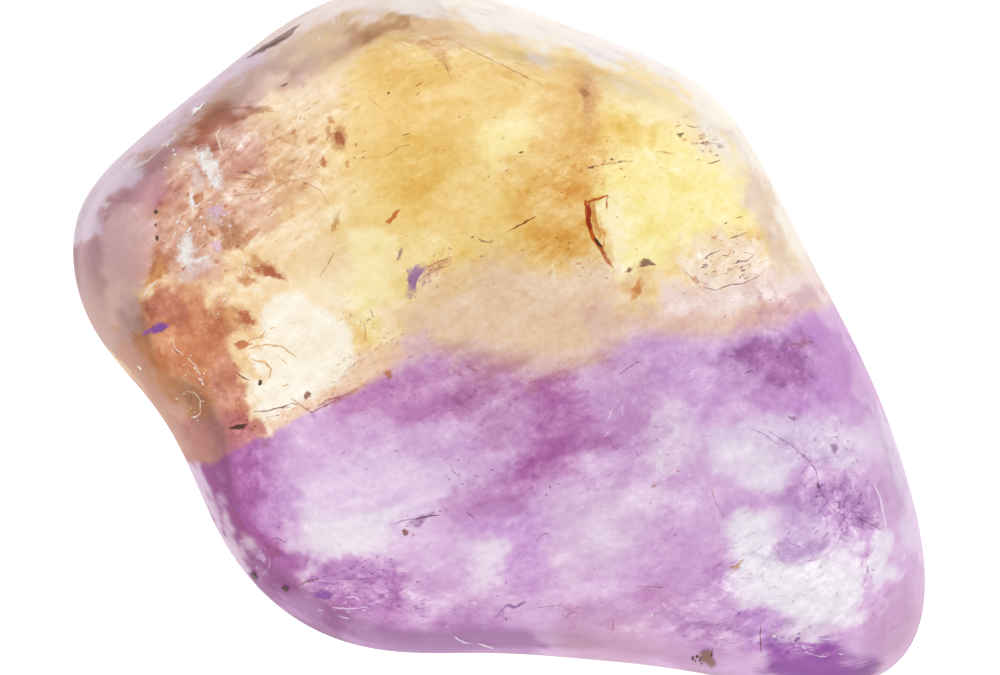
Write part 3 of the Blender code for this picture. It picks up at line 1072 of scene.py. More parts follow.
STROKE_UNEVEN = (0.35, 0.4)  # how uneven its width is, and the length of those waves
STROKE_ENDS = (0.06, 0.94)  # shares of a half turn at its ends, where it is narrow
STROKE_COVER = (0.1, 0.6, 0.1)  # how deep inside it its two sides and its middle are
SPECK_POINTS = 6  # round a speck
SPECK_DEPTHS = (0.15, 0.60)  # of the least deep and the deepest, under the face
SPECKS_WITHIN = 0.97  # share of the way out past which there are none
SPECK_LEAN = 0.35  # how much specks of one group lean, in radians
SPECK_REACH = (0.4, 1.0)  # roots of the least and the most of their size
SPECK_DRAWN = (0.5, 1.0)  # the least and the most of their length
SPECK_UNEVEN = (0.3, 1.5)  # the least and the most that a point of one stands out
SPECK_FLATNESS = 0.8  # width of one as a share of its size
SPECK_EDGE = 0.5  # how deep inside it all its points are
FILM_SEEDS = (100, 7)  # of the first film, and the step to the next
STROKE_SEEDS = (2000, 7)
SPECK_SEEDS = (4000, 1)
TEARS = ((0.5, 0.6), (0.17, 0.3))  # lengths and strengths of the waves that tear an edge
SLOPE_STEP = 0.02  # over which the slope of the face is worked out
STEEPEST = 5.0  # most that a steep place lifts a flaw
LEAST_OVER_WAIST = 0.05  # height over the waist of the lowest flaw
PLACING_ROUNDS = 3


def steepness(x, y):
    """How far a plumb line through the upper face is for a hair's way straight out of it."""
    rise_x = top_height(x + SLOPE_STEP, y) - top_height(x - SLOPE_STEP, y)
    rise_y = top_height(x, y + SLOPE_STEP) - top_height(x, y - SLOPE_STEP)
    return np.minimum(np.hypot(1, np.hypot(rise_x, rise_y) / (2 * SLOPE_STEP)), STEEPEST)


def placed(u, v, depth):
    """Points a depth under the upper face that look to be at (u, v) at the waist from the eye.

    A depth under 0 is a height over the face, straight out of it. The nearer to the eye a point
    is, the closer to the middle it has to lie: by 1 less its height over the waist as a share of
    the eye's. A few rounds settle it. None lies below the waist.
    """
    x, y = u, v
    for _ in range(PLACING_ROUNDS):
        down = np.where(np.less(depth, 0), depth * steepness(x, y), depth)
        height = np.maximum(top_height(x, y) - down, waist_height(x, y) + LEAST_OVER_WAIST)
        nearer = 1 - (height - WAIST) / EYE_HEIGHT
        x, y = u * nearer, v * nearer
    return np.column_stack([x, y, height])


def ragged(x, y, amount, seed):
    """Places moved by up to about the amount, in short and very short waves."""
    places = np.column_stack([x, y])
    moved = []
    for along, first in ((x, seed), (y, seed + len(TEARS))):
        tear = sum(
            strength * waves(places, length, first + step)
            for step, (length, strength) in enumerate(TEARS)
        )
        moved.append(along + amount * tear)
    return moved


class FilmSheet:
    """Films gathered into one mesh, each point with its tone and its depth inside its film."""

    def __init__(self, crossings, light):
        """crossings is 2 where light passes the film once, as the shader tints half of it then.

        light is the strength of the light that falls on the film.
        """
        self.crossings, self.light = crossings, light
        self.points, self.faces, self.tones, self.edges = [], [], [], []
        self.count = 0

    def add(self, points, faces, tone, edge):
        """Adds the points and faces of one film, its tone and its edge values."""
        colour = np.clip(linear(tone[:3]) / self.light, 0, BRIGHTEST) ** self.crossings
        colour = np.append(colour, tone[3])
        self.points.append(points)
        self.faces.append(np.asarray(faces) + self.count)
        self.tones.append(np.tile(colour, (len(points), 1)))
        self.edges.append(np.broadcast_to(edge, len(points)))
        self.count += len(points)

    def film(self, tone, rag, outline, depth, firm, seed):
        """A flat film: rings of one outline about its middle, the outline's edge torn a little.

        firm is how fast its cover grows from the edge inwards.
        """
        corners = np.array(outline, dtype=float)
        closed = np.vstack([corners, corners[:1]])
        along = np.append(0, np.cumsum(np.hypot(*np.diff(closed, axis=0).T)))
        at = np.linspace(0, along[-1], OUTLINE_STEPS, endpoint=False)
        x, y = ragged(
            np.interp(at, along, closed[:, 0]), np.interp(at, along, closed[:, 1]), rag, seed
        )
        middle = np.array([x.mean(), y.mean()])
        rings = np.array(FILM_RINGS)[:, None]
        x = np.append(middle[0], (middle[0] + rings * (x - middle[0])).ravel())
        y = np.append(middle[1], (middle[1] + rings * (y - middle[1])).ravel())
        edge = firm * np.append(1.0, np.repeat(1 - np.array(FILM_RINGS), OUTLINE_STEPS))
        turn = np.arange(OUTLINE_STEPS)
        following = (turn + 1) % OUTLINE_STEPS
        faces = [np.column_stack([np.zeros_like(turn), 1 + turn, 1 + following])]
        for ring in range(len(FILM_RINGS) - 1):
            inner, outer = 1 + ring * OUTLINE_STEPS, 1 + (ring + 1) * OUTLINE_STEPS
            faces.append(np.column_stack([inner + turn, outer + turn, outer + following]))
            faces.append(np.column_stack([inner + turn, outer + following, inner + following]))
        self.add(placed(x, y, depth), np.vstack(faces), tone, edge)

    def stroke(self, tone, width, path, depth, firm, seed):
        """A narrow ribbon along a path, widest in its middle, its run and width uneven."""
        corners = np.array(path, dtype=float)
        along = np.append(0, np.cumsum(np.hypot(*np.diff(corners, axis=0).T)))
        count = max(STROKE_POINTS, int(along[-1] / STROKE_STEP))
        at = np.linspace(0, along[-1], count)
        x, y = ragged(
            np.interp(at, along, corners[:, 0]), np.interp(at, along, corners[:, 1]),
            STROKE_RUN * width, seed,
        )
        slope_x, slope_y = np.gradient(x), np.gradient(y)
        length = np.hypot(slope_x, slope_y)
        swell = np.sin(math.pi * np.linspace(*STROKE_ENDS, count)) ** 0.5
        strength, wave = STROKE_UNEVEN
        uneven = 1 + strength * waves(np.column_stack([x, y]), wave, seed + 5)
        half = 0.5 * width * swell * uneven
        across = np.array([-1.0, 0.0, 1.0])[:, None] * half
        wide_x = (x - slope_y / length * across).ravel()
        wide_y = (y + slope_x / length * across).ravel()
        points = placed(wide_x, wide_y, depth)
        quads = grid_faces(3, count)
        faces = np.vstack([quads[:, [0, 1, 2]], quads[:, [0, 2, 3]]])
        self.add(points, faces, tone, firm * np.repeat(STROKE_COVER, count))

    def specks(self, tone, count, middle, spread, turn, size, length, depths, firm, seed):
        """Small flakes strewn round a middle, drawn out along the turn, in degrees."""
        rng = np.random.default_rng(seed)
        c, s = math.cos(math.radians(turn)), math.sin(math.radians(turn))
        away = rng.normal(size=(count, 2)) * spread
        x0 = middle[0] + away[:, 0] * c - away[:, 1] * s
        y0 = middle[1] + away[:, 0] * s + away[:, 1] * c
        kept = share_out(x0, y0) < SPECKS_WITHIN
        x0, y0 = x0[kept][:, None], y0[kept][:, None]
        lean = math.radians(turn) + rng.normal(0, SPECK_LEAN, (len(x0), 1))
        reach = size * rng.uniform(*SPECK_REACH, (len(x0), 1)) ** 2
        drawn = length * rng.uniform(*SPECK_DRAWN, (len(x0), 1))
        round_it = np.arange(SPECK_POINTS) * 2 * math.pi / SPECK_POINTS
        uneven = rng.uniform(*SPECK_UNEVEN, (len(x0), SPECK_POINTS))
        u = reach * drawn * np.cos(round_it) * uneven
        v = SPECK_FLATNESS * reach * np.sin(round_it) * uneven[:, ::-1]
        x = (x0 + u * np.cos(lean) - v * np.sin(lean)).ravel()
        y = (y0 + u * np.sin(lean) + v * np.cos(lean)).ravel()
        depth = np.repeat(rng.uniform(*depths, len(x0)), SPECK_POINTS)
        first = np.arange(len(x0))[:, None] * SPECK_POINTS
        faces = np.vstack([first + (0, k, k + 1) for k in range(1, SPECK_POINTS - 1)])
        self.add(placed(x, y, depth), faces, tone, SPECK_EDGE * firm)

    def finished(self, name, material):
        """The gathered films as one piece."""
        piece = new_piece(name, np.vstack(self.points), np.vstack(self.faces), material)
        tone = piece.data.attributes.new("tone", "FLOAT_COLOR", "POINT")
        tone.data.foreach_set("color", np.vstack(self.tones).ravel())
        edge = piece.data.attributes.new("edge", "FLOAT", "POINT")
        edge.data.foreach_set("value", np.concatenate(self.edges).astype(np.float32))
        return piece


TEAR_RISE, TEAR_START = 3.0, 0.1  # how fast cover grows from a film's edge, and what it has there
TEAR_GRAIN = 3.2  # how strongly the grain tears it
MOTTLE_RISE, MOTTLE_START = 3.0, 0.9  # how strongly it is mottled, and how much that takes away
MOTTLE_EDGE = 0.7  # how much less it is mottled far inside


def torn_cover(finish):
    """How much a flaw covers: its tone's share, torn at its edge and mottled all over."""
    share = finish.node("ShaderNodeAttribute", {"attribute_name": "tone"}, out=3)
    edge = finish.node("ShaderNodeAttribute", {"attribute_name": "edge"}, out=2)
    grain = finish.noise(0.14, detail=5.0, roughness=0.7)
    patchy = finish.noise(0.4, detail=4.0, roughness=0.65)
    tear = (edge * TEAR_RISE + (grain - MIDDLE) * TEAR_GRAIN + TEAR_START).limited()
    mottle = (patchy * MOTTLE_RISE - MOTTLE_START + edge * MOTTLE_EDGE).limited()
    return share * tear * mottle


def stain_and_shade():
    """A film of iron or of dark quartz, or a line of painted shade, clear but tinted: light goes
    straight through it.
    """
    finish = Finish("inner_stain_and_shade")
    finish.set(
        Base_Color=finish.node("ShaderNodeAttribute", {"attribute_name": "tone"}),
        Roughness=0.0,
        Transmission_Weight=1.0,
        IOR=1.0,
        Alpha=torn_cover(finish),
    )
    return finish.made


def bruise_and_glint():
    """Bruised places and healed cracks that scatter light, and painted glints and painted crack
    reflections, lying on the face.
    """
    finish = Finish("pale_bruise_and_glint")
    finish.set(
        Base_Color=finish.node("ShaderNodeAttribute", {"attribute_name": "tone"}),
        Roughness=0.4,
        Specular_IOR_Level=0.2,
        Alpha=torn_cover(finish),
    )
    return finish.made


# Films: tone, raggedness, outline, all in millimetres.
FILMS = (
    # the blunt end
    ("scar", 0.03, (
        (-10.3, 11.08), (-9.6, 11.62), (-8.9, 12.02), (-8.2, 12.45), (-7.85, 12.64), (-8.3, 12.1),
        (-8.9, 11.7), (-9.5, 11.38),
    )),
    ("pit", 0.03, ((-9.7, 11.45), (-9.0, 11.85), (-8.5, 12.1), (-9.0, 11.75))),
    ("tan", 0.05, ((-8.6, 11.6), (-8.2, 11.85), (-7.8, 12.05), (-7.75, 11.6), (-8.2, 11.5))),
    # The white and milk films along the bevel here are painted glints; the white plates are cracks
    # painted with the light they reflect.
    ("white", 0.08, ((-12.5, 8.8), (-12.2, 9.2), (-11.7, 9.45), (-12.0, 9.1), (-12.3, 8.9))),
    ("milk", 0.06, ((-15.5, 6.5), (-14.9, 7.0), (-14.3, 7.4), (-14.6, 6.9), (-15.1, 6.6))),
    ("milk", 0.10, ((-16.1, 5.2), (-15.7, 5.45), (-15.4, 5.3), (-15.8, 5.1))),
    ("amber", 0.06, (
        (-12.5, 7.9), (-12.0, 8.4), (-11.3, 8.75), (-11.1, 8.5), (-11.5, 8.0), (-12.1, 7.8),
    )),
    ("white", 0.09, (
        (-12.35, 7.7), (-11.75, 7.85), (-11.35, 7.3), (-11.1, 6.7), (-10.95, 6.1), (-10.9, 5.75),
        (-11.5, 5.8), (-11.85, 6.5), (-12.2, 7.1),
    )),
    ("white", 0.06, ((-12.15, 7.4), (-11.8, 7.55), (-11.7, 7.1), (-12.0, 7.0))),
    ("white", 0.06, ((-11.6, 6.3), (-11.25, 6.4), (-11.1, 5.9), (-11.4, 5.9))),
    ("grey", 0.06, ((-12.5, 6.9), (-12.1, 6.9), (-11.7, 6.3), (-11.7, 5.8), (-12.3, 5.8))),
    ("amber", 0.07, ((-12.25, 5.65), (-11.75, 5.8), (-11.7, 5.5), (-12.0, 5.2), (-12.2, 5.3))),
    ("white", 0.04, ((-12.45, 5.9), (-12.25, 5.9), (-12.2, 5.1), (-12.4, 5.1))),
    ("lilac", 0.08, ((-11.8, 5.2), (-11.2, 5.4), (-10.9, 4.9), (-11.4, 4.6))),
    ("milk", 0.10, ((-11.9, 5.0), (-11.1, 5.1), (-10.9, 4.4), (-11.7, 4.4))),
    ("gold", 0.06, ((-11.8, 4.35), (-11.45, 4.3), (-11.25, 4.0), (-11.5, 4.05))),
    ("lilac", 0.06, ((-11.6, 3.85), (-11.2, 3.95), (-11.1, 3.5), (-11.4, 3.3))),
    ("white", 0.08, ((-12.9, 4.2), (-12.3, 4.3), (-12.05, 3.4), (-12.3, 2.7), (-13.0, 2.9))),
    ("grey", 0.07, (
        (-13.1, 2.5), (-12.6, 2.9), (-12.0, 3.3), (-11.3, 3.35), (-11.3, 3.0), (-11.8, 2.5),
        (-12.5, 2.1), (-13.0, 2.05),
    )),
    ("white", 0.06, ((-12.5, 3.0), (-11.9, 3.35), (-11.5, 3.3), (-12.0, 2.9))),
    ("amber", 0.08, (
        (-10.7, 3.5), (-10.2, 4.1), (-9.6, 4.5), (-9.4, 4.35), (-9.8, 3.85), (-10.3, 3.4),
    )),
    ("iron", 0.06, (
        (-9.95, 2.75), (-9.5, 3.0), (-9.1, 3.0), (-8.8, 2.6), (-8.3, 2.25), (-8.9, 2.35),
        (-9.6, 2.5),
    )),
    ("gold", 0.10, (
        (-13.6, 3.6), (-13.0, 3.4), (-13.2, 2.5), (-13.9, 2.1), (-14.3, 1.9), (-14.0, 2.6),
    )),
    ("amber", 0.08, (
        (-10.4, 3.0), (-9.9, 3.3), (-9.0, 3.1), (-8.3, 2.3), (-9.3, 2.4), (-10.2, 2.5),
    )),
    ("tan", 0.10, ((-11.2, 4.6), (-10.6, 4.9), (-10.0, 4.3), (-10.4, 3.5), (-11.1, 3.4))),
    ("amber", 0.08, ((-10.6, 2.4), (-10.0, 2.6), (-9.5, 2.2), (-10.2, 2.0))),
    ("tan", 0.08, ((-10.2, 9.1), (-9.3, 9.3), (-8.8, 9.0), (-9.8, 8.8))),
    # the middle of the yellow side
    ("amber", 0.06, ((-6.95, 8.7), (-6.7, 8.9), (-6.5, 8.6), (-6.8, 8.4))),
    ("tan", 0.06, ((-7.0, 8.3), (-6.75, 8.5), (-6.7, 8.0), (-6.9, 7.7))),
    ("iron", 0.07, ((-6.7, 8.1), (-6.45, 8.3), (-6.1, 7.9), (-6.2, 7.5), (-6.5, 7.7))),
    ("tan", 0.08, ((-6.9, 7.9), (-6.4, 8.6), (-6.0, 8.2), (-6.1, 7.4), (-6.6, 7.4))),
    ("iron", 0.05, ((-7.2, 6.9), (-7.0, 7.3), (-6.85, 6.9), (-7.1, 6.75))),
    ("amber", 0.05, ((-6.25, 6.9), (-6.1, 7.2), (-5.9, 7.0), (-6.1, 6.75))),
    ("tan", 0.04, ((-8.5, 6.95), (-8.1, 7.2), (-7.9, 7.1), (-8.2, 6.9))),
    ("iron", 0.06, ((-4.6, 4.6), (-4.3, 5.0), (-3.95, 5.25), (-4.1, 4.8), (-4.4, 4.5))),
    ("tan", 0.06, ((-6.8, 4.2), (-6.6, 4.9), (-6.35, 5.1), (-6.4, 4.6), (-6.6, 4.1))),
    ("violet", 0.05, (
        (-3.8, 2.7), (-3.4, 2.95), (-2.85, 2.95), (-3.1, 2.55), (-3.3, 2.2), (-3.35, 1.8),
        (-3.6, 1.45), (-3.8, 1.65), (-3.7, 2.2),
    )),
    ("grape", 0.08, (
        (-3.2, 2.7), (-2.6, 3.1), (-1.8, 3.2), (-2.2, 2.8), (-3.0, 2.2), (-3.2, 2.0),
    )),
    ("plum", 0.04, ((-4.15, 3.1), (-4.0, 3.6), (-3.85, 3.6), (-3.95, 3.1))),
    ("grape", 0.03, ((-0.5, 3.85), (-0.3, 3.95), (-0.2, 3.8), (-0.4, 3.7))),
    ("smear", 0.12, ((2.8, 10.8), (3.4, 10.9), (3.9, 9.7), (3.7, 8.4), (3.3, 8.1), (3.2, 9.2))),
    ("tan", 0.06, ((3.1, 9.8), (3.4, 9.9), (3.6, 9.6), (3.3, 9.4))),
    ("smear", 0.10, (
        (-2.9, 11.5), (-2.3, 11.6), (-1.9, 10.9), (-1.8, 10.1), (-2.2, 10.6), (-2.6, 11.0),
    )),
    # the crack and the flakes right of it
    ("ember", 0.03, (
        (3.36, 5.2), (3.52, 5.5), (3.62, 5.2), (3.6, 4.6), (3.72, 4.2), (3.58, 4.15), (3.4, 4.5),
    )),
    ("gold", 0.05, ((3.5, 5.4), (3.7, 5.5), (3.9, 4.6), (4.1, 4.0), (3.9, 3.9), (3.6, 4.5))),
    ("liver", 0.03, (
        (5.55, 3.05), (5.8, 3.25), (6.05, 3.1), (6.35, 2.9), (5.95, 2.85), (5.5, 2.75),
    )),
    ("liver", 0.03, ((4.95, 2.6), (5.15, 2.85), (5.35, 2.75), (5.2, 2.55))),
    ("umber", 0.02, ((6.95, 8.1), (7.3, 8.15), (7.15, 7.9))),
    ("amber", 0.04, ((7.5, 2.4), (7.8, 2.5), (7.95, 2.2), (7.75, 2.1))),
    ("gold", 0.06, ((5.15, 1.9), (5.6, 2.5), (5.8, 2.2), (5.4, 1.4), (5.1, 1.4))),
    ("grape", 0.03, ((7.95, 2.85), (8.3, 2.9), (8.3, 2.7), (8.0, 2.65))),
    ("grape", 0.10, ((10.4, 4.0), (10.9, 4.4), (11.6, 4.1), (11.1, 3.8))),
    ("tan", 0.04, ((8.3, 4.0), (8.7, 4.15), (8.5, 3.9))),
    # the amber patch
    ("amber", 0.07, (
        (-12.1, 1.1), (-11.2, 1.45), (-10.2, 1.4), (-9.75, 0.95), (-9.6, 0.3), (-10.4, 0.12),
        (-11.2, -0.05), (-11.9, 0.2),
    )),
    ("iron", 0.05, ((-10.5, 1.2), (-9.9, 1.1), (-9.65, 0.5), (-10.1, 0.3), (-10.6, 0.6))),
    ("iron", 0.06, ((-10.7, -0.15), (-10.2, -0.05), (-9.75, -0.15), (-10.0, -0.4), (-10.5, -0.5))),
    ("violet", 0.05, (
        (-14.35, 0.15), (-14.0, 0.38), (-13.65, 0.58), (-13.2, 0.42), (-13.5, 0.2), (-14.0, 0.08),
    )),
    ("grape", 0.06, ((-15.0, -0.5), (-14.8, -0.1), (-14.35, 0.1), (-14.5, -0.3))),
    ("rust", 0.06, ((-13.2, -2.1), (-12.8, -2.1), (-12.7, -2.5), (-13.0, -2.7))),
    ("rust", 0.06, ((-12.6, -2.2), (-12.2, -2.2), (-12.1, -2.6), (-12.5, -2.7))),
    ("gold", 0.12, ((-14.2, -0.6), (-13.6, -0.3), (-13.0, -0.8), (-13.2, -1.8), (-13.9, -1.3))),
    ("smear", 0.10, ((-11.6, -1.0), (-10.8, -0.8), (-10.4, -1.6), (-10.8, -2.6), (-11.5, -2.2))),
    ("pit", 0.05, (
        (-10.9, -3.62), (-10.5, -3.45), (-10.12, -3.45), (-10.2, -3.68), (-10.6, -3.7),
    )),
    ("umber", 0.04, ((-7.85, -2.3), (-7.65, -2.1), (-7.45, -2.2), (-7.5, -2.4), (-7.8, -2.45))),
    ("smear", 0.04, ((-9.6, -4.2), (-9.2, -4.15), (-9.0, -4.3), (-9.4, -4.4))),
    ("gold", 0.08, ((-4.7, -1.3), (-4.3, -1.2), (-4.2, -1.6), (-4.5, -1.75))),
    ("smear", 0.10, (
        (-7.6, -3.0), (-6.9, -2.5), (-6.0, -2.1), (-5.0, -1.6), (-5.4, -2.0), (-6.6, -2.8),
    )),
    # the violet side
    ("umber", 0.03, (
        (-3.95, -7.65), (-3.8, -7.55), (-3.62, -7.65), (-3.65, -7.85), (-3.85, -7.9),
    )),
    ("plum", 0.06, ((-3.8, -7.4), (-3.2, -7.0), (-2.5, -6.9), (-2.9, -7.3), (-3.4, -7.65))),
    ("pit", 0.05, ((-8.8, -10.0), (-8.6, -9.88), (-8.4, -10.0), (-8.45, -10.2), (-8.7, -10.22))),
    ("pit", 0.05, ((-10.02, -9.42), (-9.85, -9.4), (-9.7, -9.65), (-9.85, -9.72))),
    ("violet", 0.10, ((-7.4, -10.1), (-6.9, -10.0), (-6.5, -10.3), (-6.8, -10.6), (-7.3, -10.5))),
    ("lilac", 0.08, ((-9.9, -8.6), (-9.6, -8.5), (-9.3, -8.8), (-9.3, -9.1), (-9.6, -9.0))),
    ("plum", 0.05, ((11.4, -3.15), (11.7, -3.1), (11.95, -3.35), (11.7, -3.4))),
    ("plum", 0.05, ((13.1, -4.3), (13.4, -4.2), (13.5, -4.5), (13.25, -4.7))),
    ("smear", 0.06, ((11.3, -0.25), (12.0, -0.05), (12.6, -0.1), (12.2, -0.4), (11.6, -0.5))),
    ("gold", 0.05, ((9.15, -9.2), (9.4, -8.95), (9.75, -8.8), (9.6, -9.2), (9.35, -9.4))),
    ("white", 0.05, ((9.5, -9.1), (9.8, -8.9), (9.9, -9.3), (9.6, -9.5))),
    ("tan", 0.04, ((5.95, -5.95), (6.2, -5.8), (6.35, -5.85), (6.1, -6.0))),
    ("scar", 0.08, (
        (8.0, -12.5), (8.35, -12.4), (8.55, -12.8), (8.6, -13.2), (8.25, -13.2), (8.05, -12.9),
    )),
    ("tan", 0.12, ((7.6, -12.7), (8.2, -12.4), (8.7, -12.7), (8.7, -13.2), (7.9, -13.1))),
    ("rust", 0.08, ((-9.4, -8.2), (-8.8, -8.1), (-8.6, -8.7), (-9.1, -8.9))),
    ("rust", 0.08, ((15.2, -11.75), (15.6, -11.5), (15.95, -11.4), (15.7, -11.65))),
    ("plum", 0.03, ((14.55, -9.1), (14.65, -9.1), (14.68, -9.45), (14.57, -9.45))),
    ("milk", 0.10, ((6.2, -4.6), (6.6, -4.2), (6.7, -5.2), (6.3, -5.8), (6.1, -5.2))),
    ("milk", 0.12, ((6.6, -3.3), (7.2, -3.1), (7.5, -3.7), (6.9, -4.0))),
)

